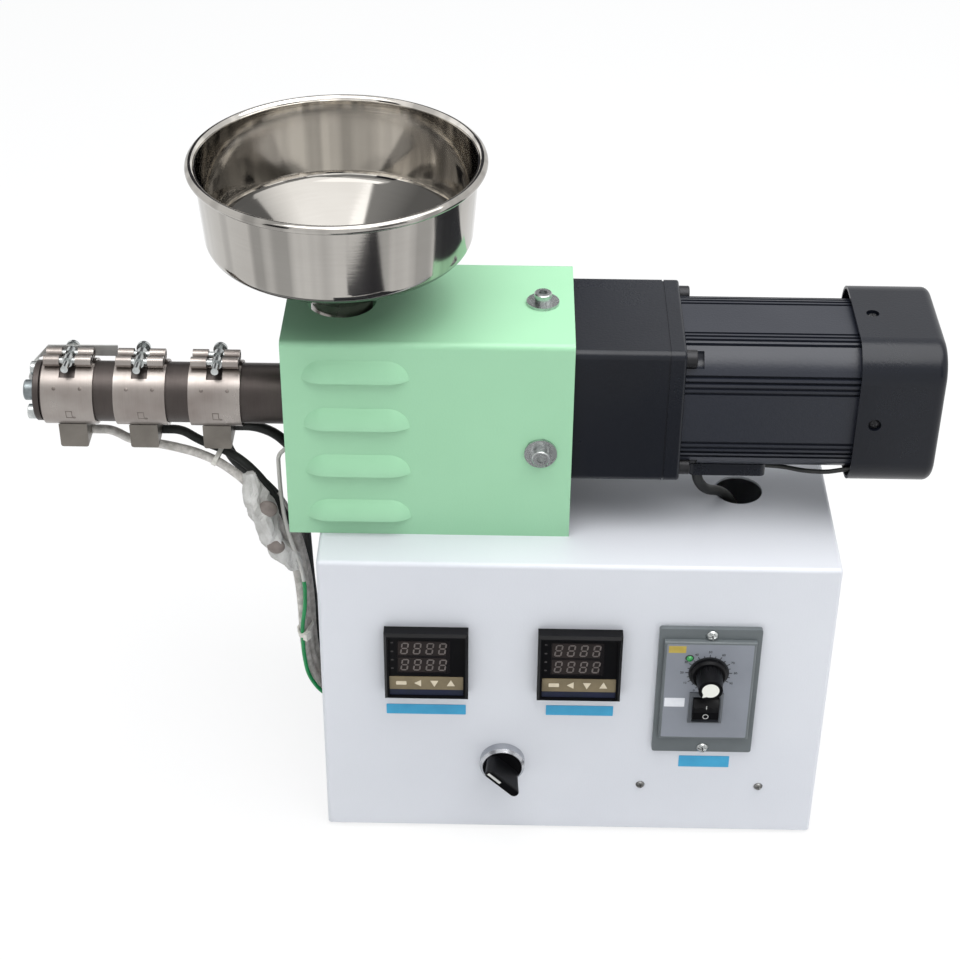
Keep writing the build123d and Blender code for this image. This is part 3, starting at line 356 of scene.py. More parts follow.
# Hopper. A stainless bowl spun to shape and polished: rolled rim, straight wall, rounded
# shoulder, cone, and a short welded neck. Spinning leaves faint rings about its axis.
HOPPER_AXIS = (-133.0, -16.6)
CONE_TOP = 0.368
# Painted reflections: the cone's tone, the bright wedge, the streaks and the darker outside are painted light
# and shade in the steel's colour.
CONE_REFLECTION_TONE = 0.22
WEDGE_TOWARD = (-0.10, 0.995, 0)
HIGHLIGHT_WEDGE = (0.74, 0.92, 0.50)
REFLECTION_STREAK_SCALE = 4.2
REFLECTION_STREAKS = (0.40, 0.56, 0.62)
OUTSIDE_PAINTED_DARKER = (-0.1, 0.1, 1.0, 0.58)


def spun_steel_painted_reflections(name):
    """Polished steel: rings of noise about the vertical axis as bump. Painted reflections change the
    tone with the angle about that axis: painted streaks of noise on the wall, painted shade where
    it faces outward, and one painted highlight, a bright wedge, on the cone below its top. The
    constants of the streaks, the outside and the wedge are spread's limits."""
    material = finish(name, ((240, 236, 229), (214, 209, 202)), (0.05, 0.12), 14, 1400, 0.000008,
                      stretch=(0.03, 0.03, 1), share=0.35, metallic=1.0)
    tree = material.node_tree
    place = add(tree, "TexCoord")
    from_axis = vector_calc(tree, "SUBTRACT", place["Object"], (HOPPER_AXIS[0] * MM, HOPPER_AXIS[1] * MM, 0))
    bearing = vector_calc(tree, "NORMALIZE", vector_calc(tree, "MULTIPLY", from_axis, (1, 1, 0)))
    streaks = add(tree, "TexNoise", ("Vector", bearing), ("Scale", REFLECTION_STREAK_SCALE), ("Detail", 2.0))["Fac"]
    outward = vector_calc(tree, "DOT_PRODUCT", place["Normal"], bearing)
    wall = calc(tree, "MULTIPLY", spread(tree, streaks, *REFLECTION_STREAKS), spread(tree, outward, *OUTSIDE_PAINTED_DARKER))
    toward = vector_calc(tree, "DOT_PRODUCT", bearing, WEDGE_TOWARD)
    cone = calc(tree, "MULTIPLY", spread(tree, toward, *HIGHLIGHT_WEDGE), CONE_REFLECTION_TONE)
    height = add(tree, "SeparateXYZ", (0, place["Object"]))["Z"]
    on_cone = calc(tree, "LESS_THAN", height, CONE_TOP)
    light = add(tree, "Mix", ("Factor", on_cone), ("A", wall), ("B", cone))["Result"]
    colour = tree.nodes["Principled BSDF"].inputs["Base Color"]
    shade = add(tree, "Mix", ("Factor", 1.0), ("A", colour.links[0].from_socket), ("B", light),
                data_type="RGBA", blend_type="MULTIPLY")
    tree.links.new(shade["Result"], colour)
    return material


dress(spun_steel_painted_reflections("spun_stainless_painted_reflections"), "hopper")
dress(finish("neck_stainless", ((150, 146, 142), (112, 108, 104)), (0.2, 0.34), 60, 1600, 0.00003,
             stretch=(0.05, 0.05, 1), metallic=1.0), "hopper_neck")

# Barrel. Turned from alloy steel and browned by heat, closed by a round end plate; the nozzle
# and the plate's cap bolts are zinc plated.
TURNED = finish("turned_steel", ((86, 80, 77), (66, 60, 58)), (0.34, 0.5), 30, 2200, 0.00006,
                stretch=(1, 0.03, 0.03), share=0.4, metallic=0.85)
dress(TURNED, "barrel", "end_plate")
NOZZLE_ZINC = finish("nozzle_zinc", ((150, 158, 160), (108, 114, 117)), (0.25, 0.42), 160, 1800, 0.00005,
                     metallic=1.0)
dress(NOZZLE_ZINC, "nozzle")
dress(ZINC, "end_bolt_1", "end_bolt_2")

# Heater bands. Thin sheet steel straps round the barrel, each rolled over a pin at its ends and
# drawn shut by a zinc screw; spot welds hold the winding inside.
BARREL_AXIS = (-16.6, 265.4)
BAND_RADIUS = 18.8
BAND_STARTS = (-302.3, -261.8, -219.8)
WELDS = ((7.6, 35.0), (22.2, 35.0), (17.6, -22.0))
WELD_RADIUS = 1.25
WELD_RISE = 0.16
STAMP = (13.2, 17.0, -23.0, -6.0)
STAMP_LINE = 0.5
STAMP_LINE_TURN = 1.6
EMBED = 0.1

BAND_SHEET = finish("band_sheet", ((166, 160, 155), (132, 123, 118)), (0.24, 0.4), 36, 1500, 0.00003,
                    stretch=(1, 0.04, 0.04), share=0.3, metallic=0.9)
dress(BAND_SHEET, *(f"heater_band_{i}" for i in (1, 2, 3)))
dress(ZINC, *(f"clamp_screw_{i}" for i in (1, 2, 3)))


def on_band(x, radius, bearing):
    """Points at a radius from the barrel's axis; the bearing is zero at the front and grows
    upwards."""
    return np.stack([x, BARREL_AXIS[0] - radius * np.cos(bearing),
                     BARREL_AXIS[1] + radius * np.sin(bearing)], -1)


def spot_welds():
    """Shallow discs bent to the strap. A disc is a polar grid laid on the cylinder: place along
    the axis and angle round it are its two coordinates, and its height falls off as 1 - s^4."""
    across, around = 5, 16
    share, angle = np.linspace(1, 0, across)[:, None], circle(around)[None]
    along = (WELD_RADIUS * share * np.cos(angle)).ravel()
    turn = (WELD_RADIUS * share * np.sin(angle)).ravel() / BAND_RADIUS
    rise = (WELD_RISE + EMBED) * np.broadcast_to(1 - share**4, (across, around)).ravel()
    faces = ring_faces(across, around) + [list(range(around))[::-1]]
    places = [(start + x, np.radians(bearing)) for start in BAND_STARTS for x, bearing in WELDS]
    return joined(*((on_band(x + along, BAND_RADIUS - EMBED + rise, bearing + turn), faces)
                    for x, bearing in places))


def stamped_squares():
    """A small square stamped low on every strap: the four bars of its outline, each a patch whose
    cross-sections are laid one after another along the cylinder."""
    cuts = 9
    x0, x1, low, high = STAMP
    bars = ((x0, x0 + STAMP_LINE, low, high), (x1 - STAMP_LINE, x1, low, high),
            (x0, x1, low, low + STAMP_LINE_TURN), (x0, x1, high - STAMP_LINE_TURN, high))
    faces = ring_faces(cuts, 4) + [[3, 2, 1, 0], [4 * cuts - 4 + i for i in range(4)]]
    patches = []
    for start in BAND_STARTS:
        for left, right, bottom, top in bars:
            bearing = np.radians(np.linspace(bottom, top, cuts))
            rows = [on_band(np.full(cuts, start + x), BAND_RADIUS + lift, bearing)
                    for lift, x in ((-EMBED, left), (EMBED, left), (EMBED, right), (-EMBED, right))]
            patches.append((np.stack(rows, 1).reshape(-1, 3), faces))
    return joined(*patches)


WELD = finish("spot_weld", ((134, 126, 121), (108, 101, 96)), (0.35, 0.5), 300, 1500, 0.00003, metallic=0.9)
put("spot_welds", *spot_welds(), WELD, "frame", "band_sheet")
put("band_stamps", *stamped_squares(), WELD, "frame", "band_sheet", False)

# Sensor strip. A bent strip of bright sheet behind the bands, held under their clamps and dropped
# at its end beside the end plate.
STRIP_Y = (-5.2, -4.2)
STRIP_CORNERS = ((-314.6, 262.0), (-307.8, 262.0), (-307.8, 279.6), (-303.5, 281.6), (-262.0, 281.6),
                 (-262.0, 288.4), (-301.6, 288.0), (-310.7, 277.8), (-315.0, 267.0))


def prisms(outlines, front, back):
    """Flat plates parallel to the panel. Each outline, an array (plates, corners, 2) of x and z
    run anticlockwise seen from the front, is carried from y = back to y = front."""
    plates, corners, _ = outlines.shape
    flat = outlines.reshape(-1, 2)
    points = np.vstack([np.column_stack([flat[:, 0], np.full(len(flat), y), flat[:, 1]])
                        for y in (front, back)])
    ring = np.arange(plates)[:, None] * corners + np.arange(corners)
    after = np.roll(ring, -1, axis=1)
    rear = len(flat)
    walls = np.stack([ring, ring + rear, after + rear, after], -1).reshape(-1, 4)
    return points, ring.tolist() + (ring[:, ::-1] + rear).tolist() + walls.tolist()


STRIP_SHEET = finish("strip_sheet", ((196, 196, 193), (170, 169, 166)), (0.3, 0.45), 60, 1500, 0.00003,
                     metallic=0.4)
put("sensor_strip", *prisms(np.array(STRIP_CORNERS)[None], *STRIP_Y), STRIP_SHEET, "frame", "band_sheet",
    False)

# Terminal boxes. Small folded covers screwed under the bands over the heaters' terminals, of the
# same sheet but duller.
TERMINAL_SHEET = finish("terminal_sheet", ((132, 127, 120), (110, 105, 99)), (0.34, 0.5), 50, 1500, 0.00003,
                        metallic=0.8)
dress(TERMINAL_SHEET, *(f"terminal_box_{i}" for i in (1, 2, 3)))

# Gear motor. Cast gearbox with its end plate, ribbed stator housing, end shield, pressed fan
# cover and lead cover, all sprayed one dark slate enamel with a little gloss. The ribbed housing
# has a lighter copy of that enamel: painted light against the shade between its ribs.
SLATE = finish("slate_enamel", ((15, 19, 28), (12, 15, 23)), (0.24, 0.36), 16, 700, 0.00006,
               specular_ior_level=0.3)
dress(SLATE, "gearbox", "gearbox_flange", "end_shield", "fan_cover", "lead_cover")
# Painted light: the same slate enamel made lighter on the ribbed housing, to offset the shade its ribs cast.
RIBS_PAINTED_LIGHTER = finish("slate_enamel_painted_lighter", ((34, 37, 46), (29, 32, 41)), (0.28, 0.4), 16, 700, 0.00006,
              specular_ior_level=0.4)
dress(RIBS_PAINTED_LIGHTER, "motor_body")
BLACK_OXIDE = finish("black_oxide", ((32, 32, 34), (46, 46, 48)), (0.35, 0.5), 200, 2000, 0.00003,
                     metallic=0.6)
dress(BLACK_OXIDE, "frame_bolt_back_top", "frame_bolt_front_top", "frame_bolt_front_bottom",
      "frame_bolt_back_bottom")

# Fan cover screws. Dark pan heads sunk in the cover's holes on top and in front, driven through it
# into the end shield.
FAN_SCREWS = (("top", (158.5, -16.6, 321.2), (0, 0, 1)), ("front", (158.5, -59.0, 278.8), FORWARD))
FAN_HEAD = (3.1, 1.3)
for side, centre, facing in FAN_SCREWS:
    put(f"fan_screw_{side}", *pan_heads((centre,), facing, *FAN_HEAD), BLACK_OXIDE, "frame", "black_oxide")

# Temperature controllers. Square black cases in panel cut-outs, each with a dark window over two
# rows of four unlit numerals, a bronze strip of keys and a navy strip below. An area is the left,
# right, bottom and top of a rectangle about the controller's centre.
CONTROLLER_FACE = -96.4
CONTROLLERS = (("left", -85.3, 132.7), ("right", 2.3, 132.8))
WINDOW_AREA = (-16.6, 13.6, -4.6, 19.2)
ROW_AREA = (-15.9, 11.2, -5.1, 5.1)
ROW_MIDDLES = (13.4, 1.4)
KEYS_AREA = (-21.2, 21.2, -16.8, -7.4)
NAVY_AREA = (-21.2, 21.2, -21.2, -17.0)
KEY_MIDDLE = -12.1
BAR_KEY_AREA = (-17.4, -11.4, -1.3, 1.3)
ARROW_KEYS = (((-6.9, 0), (-3.0, -2.4), (-3.0, 2.4)), ((4.6, -2.6), (6.9, 1.9), (2.3, 1.9)),
              ((14.1, 2.6), (11.8, -1.9), (16.4, -1.9)))
DOT_AREA = (-20.2, -18.6, -0.5, 0.5)
DOT_MIDDLES = (17.4, 11.0, 4.8, -1.4)
DIGIT_HEIGHT = 8.4
DIGIT_WIDTH = 4.3
DIGIT_BAR = 0.85
DIGIT_INSET = 1.3
DIGIT_SLANT = 0.14
DIGIT_START = -12.2
DIGIT_PITCH = 7.2


def black_plastic(name):
    """Fine-grained black moulding, satin."""
    return finish(name, ((9, 9, 12), (6, 6, 8)), (0.32, 0.44), 60, 1800, 0.00006, specular_ior_level=0.2)


def rounded(area, radius, x=0.0, z=0.0):
    """Outline of an area about a place, whose corners are quarter circles of the radius: four arcs
    joined end to end."""
    left, right, bottom, top = np.array(area) + (x, x, z, z)
    quarter = np.linspace(0, np.pi / 2, 5)
    middles = ((right - radius, top - radius), (left + radius, top - radius),
               (left + radius, bottom + radius), (right - radius, bottom + radius))
    return np.vstack([np.column_stack([mx + radius * np.cos(quarter + k * np.pi / 2),
                                       mz + radius * np.sin(quarter + k * np.pi / 2)])
                      for k, (mx, mz) in enumerate(middles)])[None]


def plate(name, outlines, face, heights, material, slot, body="frame"):
    """Flat plates on a face parallel to the panel, between two heights above it."""
    low, high = heights
    mesh = joined(*(prisms(outline, face - high, face - low) for outline in outlines))
    put(name, *mesh, material, body, slot, False)


def numerals(x, z):
    """Outlines of the seven bars of every unlit numeral: a six-sided bar, laid flat or upright at
    its place in the figure eight, and the whole figure sheared by its slant."""
    h, w, t = DIGIT_HEIGHT / 2, DIGIT_WIDTH / 2, DIGIT_BAR / 2
    a, b = w - t * DIGIT_INSET, h / 2 - t * DIGIT_INSET
    flat = np.array([[-a, 0], [-a + t, -t], [a - t, -t], [a, 0], [a - t, t], [-a + t, t]])
    tall = np.array([[0, -b], [t, -b + t], [t, b - t], [0, b], [-t, b - t], [-t, -b + t]])
    middle = [(0, h - t), (0, 0), (0, t - h)]
    sides = [(s * (w - t), v * h / 2) for s in (-1, 1) for v in (-1, 1)]
    bars = np.array([flat + m for m in middle] + [tall + m for m in sides])
    bars[..., 0] += DIGIT_SLANT * bars[..., 1]
    places = np.array([(x + DIGIT_START + DIGIT_PITCH * i, z + row) for row in ROW_MIDDLES for i in range(4)])
    return (bars[None] + places[:, None, None]).reshape(-1, 6, 2)


BLACK_PLASTIC = black_plastic("black_plastic")
dress(BLACK_PLASTIC, "controller_left", "controller_right")
WINDOW = finish("dark_window", ((30, 26, 26), (22, 20, 21)), (0.1, 0.18), 80, 900, 0.00001)
ROW = finish("numeral_row", ((48, 42, 40), (40, 36, 35)), (0.12, 0.2), 80, 900, 0.00001)
DOT = finish("unlit_dot", ((70, 68, 68), (56, 54, 54)), (0.25, 0.35), 200, 1500, 0.00001)
NUMERAL = finish("unlit_numeral", ((112, 104, 101), (92, 85, 82)), (0.25, 0.35), 200, 1500, 0.00001)
BRONZE = finish("bronze_strip", ((128, 115, 88), (110, 98, 74)), (0.35, 0.5), 120, 1500, 0.00002)
NAVY = finish("navy_strip", ((38, 42, 66), (30, 38, 52)), (0.3, 0.4), 120, 1500, 0.00002)
KEY_MARK = finish("key_mark", ((214, 203, 180), (196, 184, 160)), (0.4, 0.5), 300, 1500, 0.00001)
for side, x, z in CONTROLLERS:
    rows = [rounded(ROW_AREA, 0.4, x, z + row) for row in ROW_MIDDLES]
    marks = [np.array(ARROW_KEYS) + (x, z + KEY_MIDDLE), rounded(BAR_KEY_AREA, 0.5, x, z + KEY_MIDDLE)]
    dots = [rounded(DOT_AREA, 0.45, x, z + dot) for dot in DOT_MIDDLES]
    # Name, outlines with their corner radii, heights above the case's face, and finish.
    for part, outlines, heights, material in (
            ("window", [rounded(WINDOW_AREA, 0.6, x, z)], (-0.05, 0.15), WINDOW),
            ("rows", rows, (0.1, 0.19), ROW),
            ("numerals", [numerals(x, z)], (0.1, 0.25), NUMERAL),
            ("keys", [rounded(KEYS_AREA, 0.4, x, z)], (-0.05, 0.35), BRONZE),
            ("strip", [rounded(NAVY_AREA, 0.4, x, z)], (-0.05, 0.2), NAVY),
            ("marks", marks, (0.3, 0.45), KEY_MARK),
            ("lamps", dots, (-0.05, 0.15), DOT)):
        plate(f"controller_{side}_{part}", outlines, CONTROLLER_FACE, heights, material, "black_plastic")

# Labels. Strips cut from a roll of blue plastic tape and stuck on the panel by hand, under the
# controllers and the speed unit.
BLUE_TAPE = finish("blue_tape", ((60, 164, 206), (50, 152, 196)), (0.35, 0.5), 90, 1500, 0.00003)
LABELS = (("left", (-109.0, -62.7, 91.4, 98.8)), ("right", (-16.0, 23.2, 92.2, 99.6)),
          ("speed", (63.7, 93.6, 53.3, 62.0)))
for side, area in LABELS:
    plate(f"label_{side}", [rounded(area, 0.4)], PANEL_FRONT, (0, 0.2), BLUE_TAPE, "black_plastic")

# Speed unit. A grey plate screwed on the panel with a raised face, a dial of ticks and numbers
# round the knob, and two paper stickers.
UNIT_FRONT = -96.0
UNIT_SCREWS = ((76.8, -93.0, 156.0), (76.6, -93.0, 71.1))
UNIT_HEAD = (3.6, 2.2)
UNIT_FACE_AREA = (51.4, 100.8, 82.2, 151.8)
OCHRE_AREA = (52.4, 62.3, 145.7, 150.6)
WHITE_AREA = (52.0, 63.7, 105.5, 112.0)
PRINT_HEIGHTS = (0.1, 0.22)
DIAL = (76.1, 131.2)
DIAL_SWEEP = 150
DIAL_STEP = 15
DIAL_DISC_RADIUS = 11.6
TICK_START = 11.4
TICK_ENDS = (13.4, 12.7)
TICK_HALF_WIDTH = 0.22
FIGURE_SIZE = 2.1
FIGURE_RADIUS = 15.3
FIGURE_RISE = 0.15
FIGURE_HALF_DEPTH = 0.05


def dial_ticks():
    """Ticks at equal steps across the dial's sweep: a thin bar turned about the dial's centre,
    longer at every second place."""
    bearings = np.radians(np.arange(-DIAL_SWEEP, DIAL_SWEEP + 1, DIAL_STEP))
    out = np.stack([np.sin(bearings), np.cos(bearings)], -1)
    side = np.stack([np.cos(bearings), -np.sin(bearings)], -1) * TICK_HALF_WIDTH
    inner = out * TICK_START
    tip = out * np.where(np.arange(len(bearings)) % 2 == 0, *TICK_ENDS)[:, None]
    return np.stack([inner - side, inner + side, tip + side, tip - side], 1) + np.array(DIAL)


def lettering(name, text, size, x, z, y):
    """Figures standing on the panel, centred at x and z, made a mesh before they are placed."""
    words = bpy.data.curves.new(name, "FONT")
    words.body = text
    words.size = size
    words.extrude = FIGURE_HALF_DEPTH
    words.align_x = "CENTER"
    words.align_y = "CENTER"
    holder = bpy.data.objects.new(name, words)
    bpy.context.scene.collection.objects.link(holder)
    bpy.context.view_layer.update()
    mesh = bpy.data.meshes.new_from_object(holder)
    bpy.data.objects.remove(holder)
    points = np.zeros(len(mesh.vertices) * 3)
    mesh.vertices.foreach_get("co", points)
    points = points.reshape(-1, 3)
    faces = [list(p.vertices) for p in mesh.polygons]
    bpy.data.meshes.remove(mesh)
    return np.column_stack([points[:, 0] + x, y - points[:, 2], points[:, 1] + z]), faces


def dial_figures():
    """The numbers 0 to 100 by tens, each at its bearing on a circle about the dial's centre."""
    figures = []
    for i in range(11):
        bearing = np.radians(2 * DIAL_STEP * i - DIAL_SWEEP)
        x, z = DIAL[0] + FIGURE_RADIUS * np.sin(bearing), DIAL[1] + FIGURE_RADIUS * np.cos(bearing)
        figures.append(lettering(f"figure_{i}", str(10 * i), FIGURE_SIZE, x, z, UNIT_FRONT - FIGURE_RISE))
    return joined(*figures)


GREY_PLATE = finish("grey_plate", ((104, 110, 112), (94, 100, 102)), (0.38, 0.5), 40, 1600, 0.00003)
dress(GREY_PLATE, "drive_unit")
put("unit_screws", *pan_heads(UNIT_SCREWS, FORWARD, *UNIT_HEAD), ZINC, "frame", "zinc")
FACE_FOIL = finish("face_foil", ((136, 140, 148), (128, 132, 140)), (0.35, 0.48), 50, 1600, 0.00002)
OCHRE = finish("ochre_sticker", ((190, 168, 76), (172, 150, 62)), (0.4, 0.5), 160, 1500, 0.00002)
STICKER = finish("white_sticker", ((222, 224, 228), (206, 208, 214)), (0.45, 0.6), 200, 1500, 0.00002)
INK = finish("black_ink", ((32, 33, 36), (44, 45, 48)), (0.4, 0.5), 300, 1500, 0.00001)
angle = circle(48)
dial_disc = (np.stack([np.cos(angle), np.sin(angle)], -1) * DIAL_DISC_RADIUS + np.array(DIAL))[None]
for part, outline, heights, material in (
        ("unit_face", rounded(UNIT_FACE_AREA, 0.8), (0, 0.12), FACE_FOIL),
        ("ochre_sticker", rounded(OCHRE_AREA, 0.3), PRINT_HEIGHTS, OCHRE),
        ("white_sticker", rounded(WHITE_AREA, 0.3), PRINT_HEIGHTS, STICKER),
        ("dial_ticks", dial_ticks(), PRINT_HEIGHTS, INK),
        ("dial_disc", dial_disc, (0.1, 0.3), INK)):
    plate(part, [outline], UNIT_FRONT, heights, material, "grey_plate")
put("dial_figures", *dial_figures(), INK, "frame", "grey_plate", False)

# Lamp of the speed unit. A small dome of green plastic with a clear gloss, pushed into a dark
# moulded bezel at the dial's upper left.
LAMP = (64.6, 141.9)
LAMP_BEZEL = (UNIT_FRONT - 0.05, 2.5, 0.7)
LAMP_DOME = (UNIT_FRONT - 0.4, 2.0, 1.7)
GREEN_LAMP = finish("green_lamp", ((30, 118, 58), (60, 160, 84)), (0.08, 0.14), 500, 900, 0.00001,
                    coat_weight=0.5)


def dome(x, z, y, radius, height):
    """Round button facing the viewer: a quarter ellipse of radius by height turned about its axis."""
    rows, around = 9, 32
    rise, angle = np.linspace(0, np.pi / 2, rows)[:, None], circle(around)[None]
    px, pz = x + radius * np.cos(rise) * np.cos(angle), z + radius * np.cos(rise) * np.sin(angle)
    py = np.broadcast_to(y - height * np.sin(rise), px.shape)
    return np.stack([px, py, pz], -1).reshape(-1, 3), ring_faces(rows, around) + [list(range(around))[::-1]]


put("lamp_bezel", *dome(*LAMP, *LAMP_BEZEL), INK, "frame", "grey_plate")
put("green_lamp", *dome(*LAMP, *LAMP_DOME), GREEN_LAMP, "frame", "grey_plate")

# Knob. Black moulded plastic with a fluted grip. Its flat front is foiled silver, a disc that
# runs out into a pointer.
CAP_RADIUS = 4.9
POINTER_REACH = 6.9
POINTER_SLOPE = 0.6
POINTER_ANGLE = np.radians(-130)
CAP_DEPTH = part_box("speed_knob")[0].y + 0.3 * MM
SILVER_FOIL = (226, 226, 218)


def overlay(material, mask, tone):
    """Lays a colour on the screen over the material's own where the mask is one."""
    tree = material.node_tree
    colour = tree.nodes["Principled BSDF"].inputs["Base Color"]
    mix = add(tree, "Mix", ("Factor", mask), ("A", colour.links[0].from_socket), ("B", to_linear(*tone)),
              data_type="RGBA")
    tree.links.new(mix["Result"], colour)
    return material


def capped_knob():
    """Black plastic, silver where a point of the knob's front lies in the cap's disc, or in the
    pointer's triangle: its distance to the side is under a share of what is left to the tip."""
    material = black_plastic("capped_knob")
    tree = material.node_tree
    place = add(tree, "TexCoord")["Object"]
    offset = vector_calc(tree, "SUBTRACT", place, (DIAL[0] * MM, 0, DIAL[1] * MM))
    flat = vector_calc(tree, "MULTIPLY", offset, (1, 0, 1))
    c, s = float(np.cos(POINTER_ANGLE)), float(np.sin(POINTER_ANGLE))
    along = vector_calc(tree, "DOT_PRODUCT", flat, (c, 0, s))
    aside = calc(tree, "ABSOLUTE", vector_calc(tree, "DOT_PRODUCT", flat, (-s, 0, c)))
    disc = calc(tree, "LESS_THAN", vector_calc(tree, "LENGTH", flat), CAP_RADIUS * MM)
    left = calc(tree, "MULTIPLY", calc(tree, "SUBTRACT", POINTER_REACH * MM, along), POINTER_SLOPE)
    narrow = calc(tree, "LESS_THAN", aside, left)
    pointer = calc(tree, "MULTIPLY", narrow, calc(tree, "GREATER_THAN", along, 0.0))
    front = calc(tree, "LESS_THAN", add(tree, "SeparateXYZ", (0, place))["Y"], CAP_DEPTH)
    return overlay(material, calc(tree, "MULTIPLY", front, calc(tree, "MAXIMUM", disc, pointer)), SILVER_FOIL)


dress(capped_knob(), "speed_knob")

# Rocker switch. Dark grey frame snapped into the plate and a black key, with the usual stroke and
# ring for on and off printed white on its two slopes.
ROCKER_X = 76.0
RIDGE_Z = 104.34
RIDGE_Y = -99.94
RIDGE_TILT = np.radians(16)
STROKE_AREA = (-0.22, 0.22, 107.9, 111.0)
RING_Z = 101.4
RING_RADIUS = 1.75
RING_WIDTH = 0.4

FRAME_GREY = finish("rocker_frame_grey", ((84, 88, 93), (74, 78, 83)), (0.35, 0.48), 90, 1800, 0.00004)
dress(FRAME_GREY, "rocker_frame")
dress(BLACK_PLASTIC, "rocker")


def closed_surface(rows):
    """Surface closed both ways: every row is a closed line, and the last row joins the first."""
    count = len(rows[0])
    faces = [[i % (len(rows) * count) for i in face] for face in ring_faces(len(rows) + 1, count)]
    return np.vstack(rows), faces


def ring_plate(x, z, radius, width, front, back):
    """Flat ring parallel to the panel: a rectangle of the given width, between front and back, is
    carried round its centre."""
    around = 32
    angle = circle(around)
    section = ((radius - width, back), (radius - width, front), (radius, front), (radius, back))
    return closed_surface([np.column_stack([x + r * np.cos(angle), np.full(around, y), z + r * np.sin(angle)])
                           for r, y in section])


def key_stroke():
    """Upright bar on the upper slope, each point moved in y by the slope's tilt from the ridge."""
    points, faces = prisms(rounded(STROKE_AREA, 0.1, ROCKER_X), RIDGE_Y - EMBED, RIDGE_Y + EMBED)
    points[:, 1] -= (points[:, 2] - RIDGE_Z) * np.tan(RIDGE_TILT)
    return points, faces


MARK_WHITE = finish("white_mark", ((206, 206, 202), (186, 186, 183)), (0.4, 0.5), 300, 1500, 0.00001)
put("rocker_on_mark", *key_stroke(), MARK_WHITE, "rocker_key", "satin_ring", False)
put("rocker_off_mark",
    *ring_plate(ROCKER_X, RING_Z, RING_RADIUS, RING_WIDTH, RIDGE_Y - EMBED, RIDGE_Y + EMBED),
    MARK_WHITE, "rocker_key", "satin_ring", False)

# Selector switch. Satin aluminium ring clamped on the panel by a nut behind it, and a black
# moulded handle with a white mark.
SELECTOR = (-40.9, 55.9)
HANDLE_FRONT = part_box("selector_handle")[0].y / MM
MARK_REACH = (1.5, 11.6)
MARK_HALF_WIDTH = 0.75

dress(finish("satin_ring", ((196, 198, 202), (160, 162, 168)), (0.2, 0.32), 80, 2000, 0.00002, metallic=1.0),
      "selector_ring")
dress(BLACK_PLASTIC, "selector_handle")


def handle_mark():
    """White line filled in the handle's ridge, from near its middle to its upper left end: a bar
    turned by 45 degrees about the selector's centre."""
    along = np.array([-1, 1]) / np.sqrt(2)
    side = np.array([1, 1]) / np.sqrt(2) * MARK_HALF_WIDTH
    root, tip = (along * reach for reach in MARK_REACH)
    return (np.array([root + side, tip + side, tip - side, root - side]) + np.array(SELECTOR))[None]


plate("handle_mark", [handle_mark()], HANDLE_FRONT, (-0.2, 0.15), MARK_WHITE, "satin_ring", "selector")

# Leads. Two glass-fibre sleeves over the heater wires, black sleeves over the sensor and motor
# wires, a green earth wire, and the motor's cable and fan lead. Heights are in metres.
PALE_SLEEVE = (196, 194, 188)
DARK_SLEEVE = (30, 33, 30)
EARTH_SLEEVED_ABOVE = 0.152
DARK_ABOVE = (("sleeve_2", 0.185), ("black_sleeve", 0.196))


def part_sleeved(material, height, tone):
    """The lead's own colour below a height, and its outer sleeve's above it."""
    tree = material.node_tree
    level = add(tree, "SeparateXYZ", (0, add(tree, "TexCoord")["Object"]))["Z"]
    return overlay(material, calc(tree, "GREATER_THAN", level, height), tone)


dress(finish("glass_sleeve", ((232, 228, 222), (150, 145, 139)), (0.6, 0.8), 260, 2600, 0.0003, share=0.45),
      "sleeve_1")
GREEN_WIRE = finish("green_wire", ((24, 150, 84), (20, 128, 70)), (0.3, 0.45), 150, 1500, 0.00003)
dress(part_sleeved(GREEN_WIRE, EARTH_SLEEVED_ABOVE, PALE_SLEEVE), "earth_lead")
for lead, height in DARK_ABOVE:
    glass = finish(f"{lead}_glass", ((224, 220, 214), (140, 135, 129)), (0.6, 0.8), 240, 2600, 0.0003,
                   share=0.45)
    dress(part_sleeved(glass, height, DARK_SLEEVE), lead)
SHEATH = finish("black_sheath", ((34, 36, 34), (24, 25, 24)), (0.4, 0.6), 100, 1800, 0.0001)
dress(SHEATH, "dark_sheath", "motor_cable", "fan_lead")

# Cable ties. White nylon straps drawn round the leads where they leave the heaters and again
# beside the base, each with its square head. A tie is its place, the run of the leads there, the
# middle and radius of each lead, and the angle of its head.
STRAP_WIDTH = 2.6
STRAP_THICKNESS = 1.0
HEAD_HALF_LENGTH = 2.4
HEAD_HALF_WIDTH = 2.1
HEAD_HEIGHTS = (-0.3, 2.6)
TIES = (
    ("upper", (-207, -20.5, 226), (0.86, -0.2, -0.38),
     ((-207, -23, 222.5, 2.6), (-206.5, -17, 227.8, 2.6)), -1.9),
    ("lower", (-160.5, -35, 111.8), (0.02, -0.02, -1),
     ((-161.5, -38.3, 111.8, 2.6), (-159.5, -32.4, 111.8, 2.6), (-161.6, -43.2, 111.8, 1.2)), 0.6),
)


def across_run(run):
    """Two directions square to a run and to each other, the first level in y."""
    first = np.cross(run, [0, 1, 0])
    first /= np.linalg.norm(first, axis=-1, keepdims=True)
    return first, np.cross(run, first)


